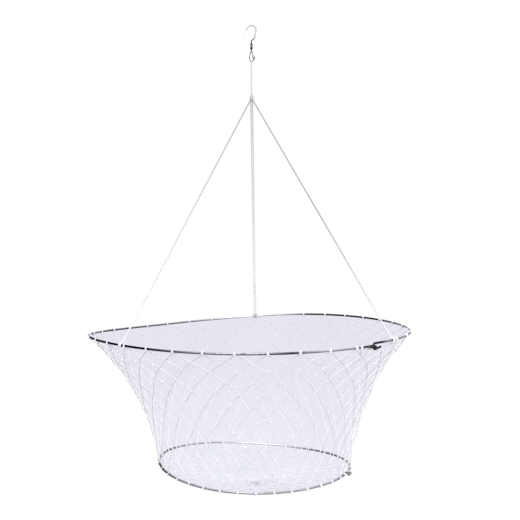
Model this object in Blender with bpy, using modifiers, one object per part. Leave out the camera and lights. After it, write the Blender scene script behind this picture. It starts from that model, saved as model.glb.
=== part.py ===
"""Crab hoop net: two steel hoops of unlike size, knotted twine netting that joins them and closes
the bottom, and a cord bridle hung from a swivel snap and a wire hook. Metres, +Z up. The origin is
the point under the hook's crown that bears on whatever holds the net up."""

import math

import bmesh
import bpy
from mathutils import Matrix, Vector

MM = 0.001
half_turn = 180

# Clearances
seat_gap = 0.3 * MM
wire_end_gap = 0.5 * MM

# Hook, a length of spring wire bent in one plane, with its eye turned square to it
hook_wire = 2.6 * MM
hook_bend_radius = 11 * MM
hook_shank_turn = 101
hook_shank_run = 16.5 * MM
hook_jog_radius = 4 * MM
hook_jog_turn = 42
hook_point_turn = 53
hook_point_sweep_radius = 75 * MM
hook_point_sweep = 18
hook_point_run = 5 * MM
hook_eye_radius = 3.0 * MM
hook_eye_start = 30
hook_eye_end = 320

# Barrel swivel
swivel_wire = 1.6 * MM
swivel_eye_radius = 2.6 * MM
swivel_stem = 2.2 * MM
swivel_neck_length = 0.6 * MM
swivel_head_radius = 1.9 * MM
swivel_head_thickness = 1.0 * MM
barrel_length = 7 * MM
barrel_radius = 3.0 * MM
barrel_end_radius = 2.3 * MM
barrel_shoulder = 1.5 * MM
barrel_lip = 1.2 * MM

# Snap, a wire link whose sprung latch crosses the front of its open leg
snap_wire = 1.8 * MM
snap_top_radius = 2.1 * MM
snap_upper_flare = 14
snap_lower_flare = 12
snap_leg_flare = 38
snap_flare_radius = 6 * MM
snap_upper_run = 9.6 * MM
snap_elbow_radius = 3.5 * MM
snap_bottom_radius = 3 * MM
snap_leg_rise = 6.2 * MM
snap_leg_run = 6.5 * MM
latch_straight = 0.8 * MM
latch_flare = 20
latch_flare_radius = 3 * MM
latch_run = 3.6 * MM
latch_elbow_radius = 5 * MM
latch_return = 10
latch_return_run = 4.2 * MM
latch_turn_drop = 14.4 * MM
latch_turn_side = 3.7 * MM
latch_cross_drop = 15.4 * MM
latch_cross_side = 6.7 * MM
latch_tip_drop = 15.1 * MM
latch_tip_side = 8.9 * MM

# Bridle cord
cord_diameter = 3.0 * MM
bridle_knot_drop = 171.5 * MM
knot_length = 17 * MM
knot_radius = 5 * MM
loop_strand_spacing = 3.6 * MM
rear_strand_spacing = 4.0 * MM
bridle_left_angle = 224.5
bridle_right_angle = 324
bridle_rear_angle = 88
side_hitch_turns = 2
rear_hitch_turns = 3

# How far the turns of a cord hitch stand out between and beside their crowns, as shares of the
# cord, and the knot's outline, as shares of its radius and its length
cord_waist_share = 0.6
cord_edge_share = 0.4
knot_outline_shares = (
    (0, 0.5),
    (0.78, 0.44),
    (1, 0.26),
    (0.78, 0.04),
    (1, -0.2),
    (0.78, -0.42),
    (0, -0.5),
)

# Hoops, each a rod whose two ends are turned into eyes that link
rod_diameter = 4.76 * MM
top_ring_diameter = 762 * MM
bottom_ring_diameter = 457.2 * MM
top_ring_drop = 732.7 * MM
bottom_ring_drop = 1054.7 * MM
top_ring_side = -8.6 * MM
bottom_ring_side = 3.5 * MM
top_ring_tilt = 0.018
bottom_ring_tilt = -0.0434
top_ring_joint_angle = 313.4
bottom_ring_joint_angle = 345
top_eye_radius = 6.2 * MM
top_eye_length = 21 * MM
bottom_eye_radius = 6 * MM
bottom_eye_length = 12 * MM

# How far each hoop is out of flat and out of round, as shares of its radius. Each pair is the
# cosine and the sine of twice the angle, and the last two of the bend are of three times it.
top_ring_bend_shares = (0.0014, 0.0157, -0.0054, -0.0050)
bottom_ring_bend_shares = (0.0224, -0.0141, 0.0, 0.0)
top_ring_oval_shares = (-0.0003, -0.0111)
bottom_ring_oval_shares = (-0.0013, 0.0026)

# Netting
columns = 36
first_hitch_angle = 6.5
side_half_rows = 11
bottom_half_rows = 3
net_twine = 1.6 * MM
hitch_length = 5 * MM
hitch_thickness = 1.3 * MM
gather_radius = 46 * MM
gather_drop = 30 * MM
gather_tip_share = 3.25

# Gathered bottom
bunch_thickness = 1.8 * MM
bunch_shoulder_radius = 16 * MM
bunch_shoulder_drop = 6.5 * MM
bunch_neck_radius = 8 * MM
bunch_neck_drop = 13 * MM
bunch_tail_radius = 12 * MM
bunch_tail_length = 12 * MM
gather_cord = 2.4 * MM

# Mesh fineness, and the distance within which points of one piece count as one
same_point = 0.0001 * MM
nearly_same_point = 0.03 * MM
arc_step = 18
turned_steps = 16
bunch_steps = 24
tie_steps = 8
tube_round_steps = 2
hitch_steps = 6
small_ring_steps = 16
small_round_steps = 6
settle_rounds = 600
first_slack_share = 1.2
least_slack_share = 1.001


# Scene
for old in list(bpy.data.objects):
    bpy.data.objects.remove(old, do_unlink=True)
parts = bpy.data.collections.new("crab_hoop_net")
cutters = bpy.data.collections.new("cutters")
for collection in (parts, cutters):
    bpy.context.scene.collection.children.link(collection)


# Materials
def make_material(name, colour, roughness, metallic):
    made = bpy.data.materials.new(name)
    made.use_nodes = True
    shader = made.node_tree.nodes["Principled BSDF"]
    shader.inputs["Base Color"].default_value = (*colour, 1)
    shader.inputs["Roughness"].default_value = roughness
    shader.inputs["Metallic"].default_value = metallic
    return made


zinc_steel = ((0.36, 0.36, 0.39), 0.35, 1.0)
bright_wire = ((0.55, 0.55, 0.57), 0.25, 1.0)
dark_brass = ((0.16, 0.15, 0.16), 0.4, 1.0)
white_cord = ((0.80, 0.80, 0.83), 0.8, 0.0)
white_twine = ((0.86, 0.86, 0.90), 0.7, 0.0)


# Helpers
def finish(thing, name, look, body):
    """Names the object, gives it its own material and hangs it on its body without moving it."""
    thing.name = name
    thing.data.name = name
    thing.data.materials.clear()
    thing.data.materials.append(make_material(name, *look))
    for home in list(thing.users_collection):
        home.objects.unlink(thing)
    parts.objects.link(thing)
    bpy.context.view_layer.update()
    thing.parent = body
    thing.matrix_parent_inverse = body.matrix_world.inverted()
    return thing


def make_body(name, place, parent=None):
    """An empty on the joint's axis that carries the pieces of one moving body."""
    empty = bpy.data.objects.new(name, None)
    parts.objects.link(empty)
    empty.location = place
    if parent:
        bpy.context.view_layer.update()
        empty.parent = parent
        empty.matrix_parent_inverse = parent.matrix_world.inverted()
    bpy.context.view_layer.update()
    return empty


def tube(name, points, diameter, look, body):
    """A round wire, rod or cord along the points, with flat ends."""
    data = bpy.data.curves.new(name, "CURVE")
    data.dimensions = "3D"
    data.bevel_depth = diameter / 2
    data.bevel_resolution = tube_round_steps
    data.use_fill_caps = True
    line = data.splines.new("POLY")
    line.points.add(len(points) - 1)
    for slot, point in zip(line.points, points):
        slot.co = (*point, 1)
    line.use_smooth = True
    return finish(bpy.data.objects.new(name, data), name, look, body)


def turned(name, profile, look, body, place, steps=turned_steps, closed=False, turn=None):
    """A turned piece: the profile of (radius, height) pairs, top to bottom on its outer side."""
    outline = bmesh.new()
    corners = [outline.verts.new((radius, 0, height)) for radius, height in profile]
    for first, second in zip(corners, corners[1:]):
        outline.edges.new((first, second))
    if closed:
        outline.edges.new((corners[-1], corners[0]))
    mesh = bpy.data.meshes.new(name)
    outline.to_mesh(mesh)
    outline.free()
    piece = bpy.data.objects.new(name, mesh)
    screw = piece.modifiers.new("turn", "SCREW")
    screw.steps = steps
    screw.render_steps = steps
    screw.use_merge_vertices = True
    screw.merge_threshold = same_point
    screw.use_smooth_shade = True
    piece.location = place
    if turn:
        piece.rotation_euler = turn
    return finish(piece, name, look, body)


def bend(start, heading, moves):
    """Points of a wire bent in a plane. A move is (run,) or (bend radius, turn in degrees), and a
    positive turn goes anticlockwise."""
    x, z = start
    points = [Vector((x, z))]
    for move in moves:
        if len(move) == 1:
            x += move[0] * math.cos(math.radians(heading))
            z += move[0] * math.sin(math.radians(heading))
            points.append(Vector((x, z)))
            continue
        radius, turn = move
        side = math.copysign(1, turn)
        centre = Vector(
            (
                x - side * radius * math.sin(math.radians(heading)),
                z + side * radius * math.cos(math.radians(heading)),
            )
        )
        count = max(1, math.ceil(abs(turn) / arc_step))
        for step in range(1, count + 1):
            facing = math.radians(heading + turn * step / count)
            point = centre + side * radius * Vector((math.sin(facing), -math.cos(facing)))
            points.append(point)
        heading += turn
        x, z = points[-1]
    return points


def in_front_plane(points, height=0.0):
    """Puts the plane of the bend into the world's X and Z."""
    return [Vector((point.x, 0, point.y + height)) for point in points]


def without_repeats(points):
    kept = [points[0]]
    for point in points[1:]:
        if (point - kept[-1]).length > nearly_same_point:
            kept.append(point)
    return kept


def smooth_route(points, per_span):
    """A Catmull-Rom curve through the points."""
    padded = [2 * points[0] - points[1], *points, 2 * points[-1] - points[-2]]
    route = [points[0]]
    for a, b, c, d in zip(padded, padded[1:], padded[2:], padded[3:]):
        for step in range(1, per_span + 1):
            t = step / per_span
            bow = (2 * a - 5 * b + 4 * c - d) * t**2 + (3 * b - a - 3 * c + d) * t**3
            route.append((2 * b + (c - a) * t + bow) / 2)
    return route


# Hook, whose shank jogs back under the crown so that the net hangs plumb
hook_body = make_body("hook", Vector((0, 0, 0)))
shank_moves = [(hook_bend_radius, -hook_shank_turn), (hook_shank_run,)]
jog_heading = -hook_shank_turn - hook_jog_turn
jog_back_turn = -90 - jog_heading
shank_side = bend((0, hook_wire / 2), 0, shank_moves)[-1].x
lead_in = bend((0, 0), -hook_shank_turn, [(hook_jog_radius, -hook_jog_turn)])[-1].x
lead_out = bend((0, 0), jog_heading, [(hook_jog_radius, jog_back_turn)])[-1].x
jog_run = -(shank_side + lead_in + lead_out) / math.cos(math.radians(jog_heading))
jog_moves = [(hook_jog_radius, -hook_jog_turn), (jog_run,), (hook_jog_radius, jog_back_turn)]
shank = bend((0, hook_wire / 2), 0, shank_moves + jog_moves)
shank_bottom = shank[-1].y
eye_lead_turn = 90 - hook_eye_start
eye_lead_radius = (
    hook_eye_radius
    * math.sin(math.radians(hook_eye_start))
    / (1 - math.cos(math.radians(eye_lead_turn)))
)
eye = bend(
    (0, shank_bottom),
    -90,
    [(eye_lead_radius, eye_lead_turn), (hook_eye_radius, -(hook_eye_end - hook_eye_start))],
)
point_side = bend(
    (0, hook_wire / 2),
    180,
    [
        (hook_bend_radius, hook_point_turn),
        (hook_point_sweep_radius, hook_point_sweep),
        (hook_point_run,),
    ],
)
hook_route = (
    in_front_plane(point_side)[::-1]
    + in_front_plane(shank)[1:]
    + [Vector((0, point.x, point.y)) for point in eye[1:]]
)
tube("hanging_hook", without_repeats(hook_route), hook_wire, bright_wire, hook_body)
hook_eye_low = min(point.y for point in eye)

# Barrel swivel, whose two eyes turn on heads inside the barrel
swivel_centre = hook_eye_low + hook_wire / 2 + seat_gap + swivel_wire / 2 - swivel_eye_radius
barrel_top = swivel_centre - swivel_eye_radius - swivel_wire / 2 - swivel_neck_length
barrel_middle = barrel_top - barrel_length / 2
lower_eye_centre = 2 * barrel_middle - swivel_centre
snap_pivot = lower_eye_centre - swivel_eye_radius
swivel_top_body = make_body("swivel_top", Vector((0, 0, hook_eye_low)), hook_body)
swivel_bottom_body = make_body("swivel_bottom", Vector((0, 0, barrel_middle)), swivel_top_body)


def swivel_eye(name, centre, upward, turn, body):
    """An eye with a stem that reaches into the barrel and ends in a head."""
    bpy.ops.mesh.primitive_torus_add(
        major_segments=small_ring_steps,
        minor_segments=small_round_steps,
        major_radius=swivel_eye_radius,
        minor_radius=swivel_wire / 2,
        location=(0, 0, centre),
        rotation=(math.radians(90), 0, math.radians(turn)),
    )
    ring = bpy.context.object
    head_face = abs(centre - barrel_middle) - seat_gap / 2
    head_back = head_face - swivel_head_thickness
    profile = [
        (0, -swivel_eye_radius),
        (swivel_stem / 2, -swivel_eye_radius),
        (swivel_stem / 2, -head_back),
        (swivel_head_radius, -head_back),
        (swivel_head_radius, -head_face),
        (0, -head_face),
    ]
    stem = turned(name + "_stem", profile, dark_brass, body, (0, 0, centre))
    if not upward:
        stem.rotation_euler = (math.radians(180), 0, 0)
    parts.objects.unlink(stem)
    cutters.objects.link(stem)
    stem.hide_render = True
    stem.display_type = "WIRE"
    joined = ring.modifiers.new("stem", "BOOLEAN")
    joined.operation = "UNION"
    joined.object = stem
    ring.data.shade_smooth()
    return finish(ring, name, dark_brass, body)


swivel_eye("swivel_top_eye", swivel_centre, True, 0, swivel_top_body)
swivel_eye("swivel_bottom_eye", lower_eye_centre, False, 90, swivel_bottom_body)
neck_bore = swivel_stem / 2 + seat_gap
barrel_bore = swivel_head_radius + seat_gap
half_barrel = barrel_length / 2
turned(
    "swivel_barrel",
    [
        (barrel_end_radius, half_barrel),
        (barrel_radius, half_barrel - barrel_shoulder),
        (barrel_radius, barrel_shoulder - half_barrel),
        (barrel_end_radius, -half_barrel),
        (neck_bore, -half_barrel),
        (neck_bore, barrel_lip - half_barrel),
        (barrel_bore, barrel_lip - half_barrel),
        (barrel_bore, half_barrel - barrel_lip),
        (neck_bore, half_barrel - barrel_lip),
        (neck_bore, half_barrel),
    ],
    dark_brass,
    swivel_top_body,
    (0, 0, barrel_middle),
    closed=True,
)

# Snap
snap_base = make_body("snap", Vector((0, 0, snap_pivot)), swivel_bottom_body)
upper_sine = math.sin(math.radians(snap_upper_flare))
upper_cosine = math.cos(math.radians(snap_upper_flare))
lower_sine = math.sin(math.radians(snap_lower_flare))
lower_cosine = math.cos(math.radians(snap_lower_flare))
elbow_side = snap_top_radius + snap_flare_radius * (1 - upper_cosine) + snap_upper_run * upper_sine
below_elbow = elbow_side - snap_elbow_radius * (upper_cosine - lower_cosine)
snap_lower_run = (below_elbow - snap_bottom_radius * lower_cosine) / lower_sine
snap_link = bend(
    (0, snap_top_radius),
    half_turn,
    [
        (snap_top_radius, 90),
        (snap_flare_radius, -snap_upper_flare),
        (snap_upper_run,),
        (snap_elbow_radius, snap_upper_flare + snap_lower_flare),
        (snap_lower_run,),
        (snap_bottom_radius, half_turn - snap_lower_flare - snap_leg_flare),
        (snap_leg_rise,),
        (snap_elbow_radius, snap_leg_flare),
        (snap_leg_run,),
    ],
)
snap_start = bend(
    (snap_top_radius, -latch_straight), 90, [(latch_straight,), (snap_top_radius, 90)]
)
snap_points = without_repeats(in_front_plane(snap_start[:-1] + snap_link, snap_pivot))
tube("snap_body", snap_points, snap_wire, bright_wire, snap_base)
snap_low = min(point.z for point in snap_points)

# Latch, which springs at the straight end that meets the link's, and ends across its open leg
latch_root = snap_pivot - latch_straight - seat_gap
latch_body = make_body("latch", Vector((snap_top_radius, 0, latch_root)), snap_base)
latch_front = -(snap_wire + seat_gap)
latch_arm = bend(
    (snap_top_radius, latch_root),
    -90,
    [
        (latch_straight,),
        (latch_flare_radius, latch_flare),
        (latch_run,),
        (latch_elbow_radius, -latch_flare - latch_return),
        (latch_return_run,),
    ],
)
latch_crossing = [
    Vector((latch_arm[-1].x, 0, latch_arm[-1].y)),
    Vector((latch_turn_side, latch_front / 2, snap_pivot - latch_turn_drop)),
    Vector((latch_cross_side, latch_front, snap_pivot - latch_cross_drop)),
    Vector((latch_tip_side, latch_front, snap_pivot - latch_tip_drop)),
]
latch_points = in_front_plane(latch_arm) + smooth_route(latch_crossing, 3)
tube("snap_latch", without_repeats(latch_points), snap_wire, bright_wire, latch_body)

# Hanging loop, over the snap's lowest wire
head_body = make_body("bridle_head", Vector((0, 0, snap_low)), snap_base)
bight_radius = snap_wire / 2 + seat_gap + cord_diameter / 2
knot_centre = -bridle_knot_drop
knot_top = knot_centre + knot_length / 2
bight = bend((bight_radius, snap_low), 90, [(bight_radius, half_turn)])
loop_route = (
    [Vector((0, loop_strand_spacing / 2, knot_top + seat_gap))]
    + [Vector((0, point.x, point.y)) for point in bight]
    + [Vector((0, -loop_strand_spacing / 2, knot_top + seat_gap))]
)
tube("hanging_loop", loop_route, cord_diameter, white_cord, head_body)

# Apex knot
turned(
    "apex_knot",
    [(across * knot_radius, along * knot_length) for across, along in knot_outline_shares],
    white_cord,
    head_body,
    (0, 0, knot_centre),
)


# Hoops
def ring_point(ring, angle):
    """A point on the hoop's centre line, with its tilt, bend and oval."""
    turn = math.radians(angle)
    radius = ring["radius"] * (
        1 + ring["oval"][0] * math.cos(2 * turn) + ring["oval"][1] * math.sin(2 * turn)
    )
    x = radius * math.cos(turn)
    y = radius * math.sin(turn)
    out_of_flat = ring["radius"] * (
        ring["bend"][0] * math.cos(2 * turn)
        + ring["bend"][1] * math.sin(2 * turn)
        + ring["bend"][2] * math.cos(3 * turn)
        + ring["bend"][3] * math.sin(3 * turn)
    )
    return Vector((x + ring["side"], y, ring["height"] + ring["tilt"] * x + out_of_flat))


def ring_axes(ring, angle):
    """The hoop's direction, its outward direction and its upward direction at this angle."""
    ahead = ring_point(ring, angle + 1) - ring_point(ring, angle - 1)
    along = ahead.normalized()
    outward = along.cross(Vector((0, 0, 1))).normalized()
    return along, outward, outward.cross(along)


def eye_offset(ring, angle):
    """How far the rod has moved from the mean line, so that its two eyes pass each other: half
    the eye's radius up and out where the rod starts, the same down and in where it ends."""
    share = ((angle - ring["joint"]) % 360) / 360
    return ring["eye_radius"] / 2 * (1 - 2 * share)


def rod_point(ring, angle):
    """The rod's centre line, which climbs slowly from one eye to the other."""
    _, outward, upward = ring_axes(ring, angle)
    shift = eye_offset(ring, angle)
    return ring_point(ring, angle) + shift * (outward + upward)


top_ring = {
    "radius": top_ring_diameter / 2,
    "height": -top_ring_drop,
    "side": top_ring_side,
    "tilt": top_ring_tilt,
    "bend": top_ring_bend_shares,
    "oval": top_ring_oval_shares,
    "joint": top_ring_joint_angle,
    "eye_radius": top_eye_radius,
    "eye_length": top_eye_length,
}
bottom_ring = {
    "radius": bottom_ring_diameter / 2,
    "height": -bottom_ring_drop,
    "side": bottom_ring_side,
    "tilt": bottom_ring_tilt,
    "bend": bottom_ring_bend_shares,
    "oval": bottom_ring_oval_shares,
    "joint": bottom_ring_joint_angle,
    "eye_radius": bottom_eye_radius,
    "eye_length": bottom_eye_length,
}
top_body = make_body("top_ring_body", Vector((0, 0, -top_ring_drop)), head_body)
bottom_body = make_body("bottom_ring_body", Vector((0, 0, -bottom_ring_drop)), top_body)


def rod_eye(ring, first):
    """One end eye, from the rod's last straight to its tip, as points from the ring inwards."""
    along, outward, upward = ring_axes(ring, ring["joint"])
    centre = ring_point(ring, ring["joint"])
    radius = ring["eye_radius"]
    length = ring["eye_length"]
    half_link = (rod_diameter + seat_gap) / 2
    backward = along if first else -along
    swing = -upward if first else outward
    level = radius / 2 if first else -radius / 2
    base = centre + level * (outward + upward)
    closing_share = (2 * radius - rod_diameter - wire_end_gap) / (2 * length)
    closing_turn = math.degrees(math.asin(closing_share))
    flat = bend(
        (radius - half_link + length, 0),
        half_turn,
        [
            (length,),
            (radius, half_turn),
            (radius, closing_turn),
            (length - rod_diameter / 2,),
        ],
    )
    return [base + point.x * backward - point.y * swing for point in flat]


pitch = 360 / columns


def hitch_angle(ring, column, offset):
    """The angle of a hitch, moved back along the hoop where the linked eyes are in its way."""
    angle = first_hitch_angle + (column + offset) * pitch
    taken = ring["eye_length"] + ring["eye_radius"] + hitch_length
    reach = math.degrees(taken / ring["radius"])
    beside = (angle - ring["joint"] + half_turn) % 360 - half_turn
    if abs(beside) < reach:
        return ring["joint"] - reach
    return angle


def make_ring(name, ring, offset, more_marks, body):
    """The rod, with a point at every hitch and one between each two, and an eye at each end."""
    lead = math.degrees((ring["eye_length"] + ring["eye_radius"]) / ring["radius"])
    marks = [hitch_angle(ring, column, offset) for column in range(columns)]
    halves = [first_hitch_angle + (column + offset + 0.5) * pitch for column in range(columns)]
    around = sorted((angle - ring["joint"]) % 360 for angle in marks + halves + more_marks)
    angles = [ring["joint"] + turn for turn in around if lead < turn < 360 - lead]
    rod = [rod_point(ring, angle) for angle in angles]
    route = rod_eye(ring, True)[::-1] + rod + rod_eye(ring, False)
    return tube(name, without_repeats(route), rod_diameter, zinc_steel, body)


bottom_start = 0.5 * (side_half_rows % 2)
bridle_angles = [bridle_left_angle, bridle_right_angle, bridle_rear_angle]
make_ring("top_ring", top_ring, 0, bridle_angles, top_body)
make_ring("bottom_ring", bottom_ring, bottom_start, [], bottom_body)


# Bridle legs and their hitches
cord_bore = (rod_diameter / 2 + seat_gap) / math.cos(math.pi / turned_steps)


def bridle_hitch(name, angle, turns):
    """Turns of cord round the top hoop's rod, one bump to a turn."""
    along, outward, upward = ring_axes(top_ring, angle)
    width = turns * cord_diameter
    edge = cord_bore + cord_edge_share * cord_diameter
    waist = cord_bore + cord_waist_share * cord_diameter
    profile = [(edge, width / 2)]
    for turn in range(turns):
        middle = width / 2 - (turn + 0.5) * cord_diameter
        profile.append((cord_bore + cord_diameter, middle))
        if turn < turns - 1:
            profile.append((waist, middle - cord_diameter / 2))
    profile += [(edge, -width / 2), (cord_bore, -width / 2), (cord_bore, width / 2)]
    axes = Matrix((upward, outward, along)).transposed()
    return turned(
        name,
        profile,
        white_cord,
        top_body,
        rod_point(top_ring, angle),
        closed=True,
        turn=axes.to_euler(),
    )


def bridle_leg(name, angle, sideways):
    """One taut strand from the knot to its hitch."""
    apex = Vector((0, 0, knot_centre))
    foot = rod_point(top_ring, angle)
    run = (foot - apex).normalized()
    shift = sideways * Vector((0, 0, 1)).cross(run).normalized()
    start = apex + shift + run * (knot_length / 2 + seat_gap)
    end = foot + shift - run * (cord_bore + cord_diameter + seat_gap)
    return tube(name, [start, end], cord_diameter, white_cord, head_body)


bridle_hitch("bridle_hitch_left", bridle_left_angle, side_hitch_turns)
bridle_hitch("bridle_hitch_right", bridle_right_angle, side_hitch_turns)
bridle_hitch("bridle_hitch_rear", bridle_rear_angle, rear_hitch_turns)
bridle_leg("bridle_leg_left", bridle_left_angle, 0)
bridle_leg("bridle_leg_right", bridle_right_angle, 0)
bridle_leg("bridle_leg_rear_left", bridle_rear_angle, rear_strand_spacing / 2)
bridle_leg("bridle_leg_rear_right", bridle_rear_angle, -rear_strand_spacing / 2)


# Netting
hitch_bore = (rod_diameter / 2 + seat_gap) / math.cos(math.pi / hitch_steps)
hitch_outer = hitch_bore + hitch_thickness


def settled_rows(top_radius, bottom_radius, height):
    """The radius of each row of knots and its share of the height. At each knot the bars, all of
    one length, pull evenly in and out, so each radius is the mean of its neighbours' weighted by
    the pulls, and a bar pulls in proportion to one over its drop."""
    narrowing = math.cos(math.pi / columns)
    steps = range(side_half_rows)
    radii = [
        top_radius + (bottom_radius - top_radius) * row / side_half_rows
        for row in range(side_half_rows + 1)
    ]
    bar = height / side_half_rows * first_slack_share
    drops = []
    for _ in range(settle_rounds):
        chords = [
            math.sqrt(radii[i] ** 2 + radii[i + 1] ** 2 - 2 * radii[i] * radii[i + 1] * narrowing)
            for i in steps
        ]
        bar = max(bar, least_slack_share * max(chords))
        drops = [math.sqrt(bar**2 - chord**2) for chord in chords]
        for i in steps[1:]:
            above = 1 / drops[i - 1]
            below = 1 / drops[i]
            pulled = above * radii[i - 1] + below * radii[i + 1]
            radii[i] = narrowing * pulled / (above + below)
        bar *= 1 + (height / sum(drops) - 1) / 4
    depths = [sum(drops[:row]) / sum(drops) for row in range(side_half_rows + 1)]
    return radii, depths, bar


row_radii, row_depths, side_bar = settled_rows(
    top_ring_diameter / 2, bottom_ring_diameter / 2, bottom_ring_drop - top_ring_drop
)
row_shares = [
    (radius - row_radii[-1]) / (row_radii[0] - row_radii[-1]) for radius in row_radii
]


def corner_reach(bar, radius):
    """How far the point of a mesh's corner stands past the knot that it is drawn from."""
    return net_twine / 2 * bar / (radius * math.sin(math.pi / columns))


def side_knot(row, column):
    offset = 0.5 * (row % 2)
    angle = first_hitch_angle + (column + offset) * pitch
    top_angle = hitch_angle(top_ring, column, offset) if row == 0 else angle
    low_angle = hitch_angle(bottom_ring, column, offset) if row == side_half_rows else angle
    _, _, top_up = ring_axes(top_ring, top_angle)
    _, _, low_up = ring_axes(bottom_ring, low_angle)
    hang = rod_diameter / 2 + seat_gap + corner_reach(side_bar, row_radii[0])
    stand = hitch_outer + corner_reach(side_bar, row_radii[-1])
    high = rod_point(top_ring, top_angle) - hang * top_up
    low = rod_point(bottom_ring, low_angle) + stand * low_up
    share = row_shares[row]
    across = low + share * (high - low)
    return Vector((across.x, across.y, high.z + row_depths[row] * (low.z - high.z)))


gather_centre = Vector((bottom_ring_side, 0, -bottom_ring_drop - gather_drop))
bottom_bar = (bottom_ring_diameter / 2 - gather_radius) / bottom_half_rows


def bottom_knot(row, column):
    offset = bottom_start + 0.5 * (row % 2)
    if row == 0:
        angle = hitch_angle(bottom_ring, column, offset)
    else:
        angle = first_hitch_angle + (column + offset) * pitch
    _, outward, upward = ring_axes(bottom_ring, angle)
    hang = rod_diameter / 2 + seat_gap + corner_reach(bottom_bar, bottom_ring["radius"])
    edge = rod_point(bottom_ring, angle) - hang * (outward + upward).normalized()
    turn = math.radians(angle)
    middle = gather_centre + gather_radius * Vector((math.cos(turn), math.sin(turn), 0))
    share = row / bottom_half_rows
    flat = edge + share * (middle - edge)
    sag = 1 - (1 - share) ** 2
    return Vector((flat.x, flat.y, edge.z + sag * (middle.z - edge.z)))


def hitch_sleeves(name, ring, offset):
    """One hidden object that holds the turns of twine at every hitch of a hoop."""
    sleeves = bmesh.new()
    for column in range(columns):
        angle = hitch_angle(ring, column, offset)
        along, outward, upward = ring_axes(ring, angle)
        place = Matrix((along, upward, outward)).transposed().to_4x4()
        place.translation = rod_point(ring, angle)
        profile = [
            sleeves.verts.new((-hitch_length / 2, 0, hitch_bore)),
            sleeves.verts.new((hitch_length / 2, 0, hitch_bore)),
            sleeves.verts.new((0, 0, hitch_outer)),
        ]
        edges = [sleeves.edges.new((profile[i - 1], profile[i])) for i in range(len(profile))]
        before = set(sleeves.verts)
        made = bmesh.ops.spin(
            sleeves,
            geom=profile + edges,
            axis=(1, 0, 0),
            cent=(0, 0, 0),
            angle=math.radians(360),
            steps=hitch_steps,
            use_merge=True,
        )
        fresh = (set(sleeves.verts) - before) | {vert for vert in profile if vert.is_valid}
        bmesh.ops.transform(sleeves, matrix=place, verts=list(fresh))
    bmesh.ops.remove_doubles(sleeves, verts=sleeves.verts, dist=same_point)
    bmesh.ops.recalc_face_normals(sleeves, faces=sleeves.faces)
    mesh = bpy.data.meshes.new(name)
    sleeves.to_mesh(mesh)
    sleeves.free()
    helper = bpy.data.objects.new(name, mesh)
    cutters.objects.link(helper)
    helper.hide_render = True
    helper.display_type = "WIRE"
    return helper


def netting(name, knot, half_rows, sleeves, body):
    """Diamond meshes between rows of knots, each edge a bar of twine, joined to its hitches."""
    cage = bmesh.new()
    rows = [
        [cage.verts.new(knot(row, column)) for column in range(columns)]
        for row in range(half_rows + 1)
    ]
    for row in range(half_rows - 1):
        for column in range(columns):
            left = rows[row + 1][(column - 1 + row % 2) % columns]
            right = rows[row + 1][(column + row % 2) % columns]
            cage.faces.new((rows[row][column], left, rows[row + 2][column], right))
    bmesh.ops.recalc_face_normals(cage, faces=cage.faces)
    mesh = bpy.data.meshes.new(name)
    cage.to_mesh(mesh)
    cage.free()
    net = bpy.data.objects.new(name, mesh)
    bars = net.modifiers.new("bars", "WIREFRAME")
    bars.thickness = net_twine
    bars.offset = 0
    bars.use_boundary = True
    bars.use_even_offset = True
    joined = net.modifiers.new("hitches", "BOOLEAN")
    joined.operation = "UNION"
    joined.object = sleeves
    return finish(net, name, white_twine, body)


netting(
    "side_netting",
    side_knot,
    side_half_rows,
    hitch_sleeves("top_hitches", top_ring, 0),
    top_body,
)
netting(
    "bottom_netting",
    bottom_knot,
    bottom_half_rows,
    hitch_sleeves("bottom_hitches", bottom_ring, bottom_start),
    bottom_body,
)

# Gathered bottom, where the last meshes are drawn into a bunch and tied
rim_radius = gather_radius - gather_tip_share * net_twine - 2 * seat_gap
half_bunch = bunch_thickness / 2
turned(
    "gathered_meshes",
    [
        (0, -half_bunch),
        (rim_radius, half_bunch),
        (rim_radius, -half_bunch),
        (bunch_shoulder_radius, -bunch_shoulder_drop),
        (bunch_neck_radius, gather_cord - bunch_neck_drop),
        (bunch_neck_radius, -gather_cord - bunch_neck_drop),
        (bunch_tail_radius, -bunch_neck_drop - bunch_tail_length),
        (0, -bunch_neck_drop - bunch_tail_length),
    ],
    white_twine,
    bottom_body,
    gather_centre,
    steps=bunch_steps,
)
bpy.ops.mesh.primitive_torus_add(
    major_segments=bunch_steps,
    minor_segments=tie_steps,
    major_radius=bunch_neck_radius + seat_gap + gather_cord / 2,
    minor_radius=gather_cord / 2,
    location=gather_centre - Vector((0, 0, bunch_neck_drop)),
)
tie = bpy.context.object
tie.data.shade_smooth()
finish(tie, "gather_cord", white_cord, bottom_body)
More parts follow.
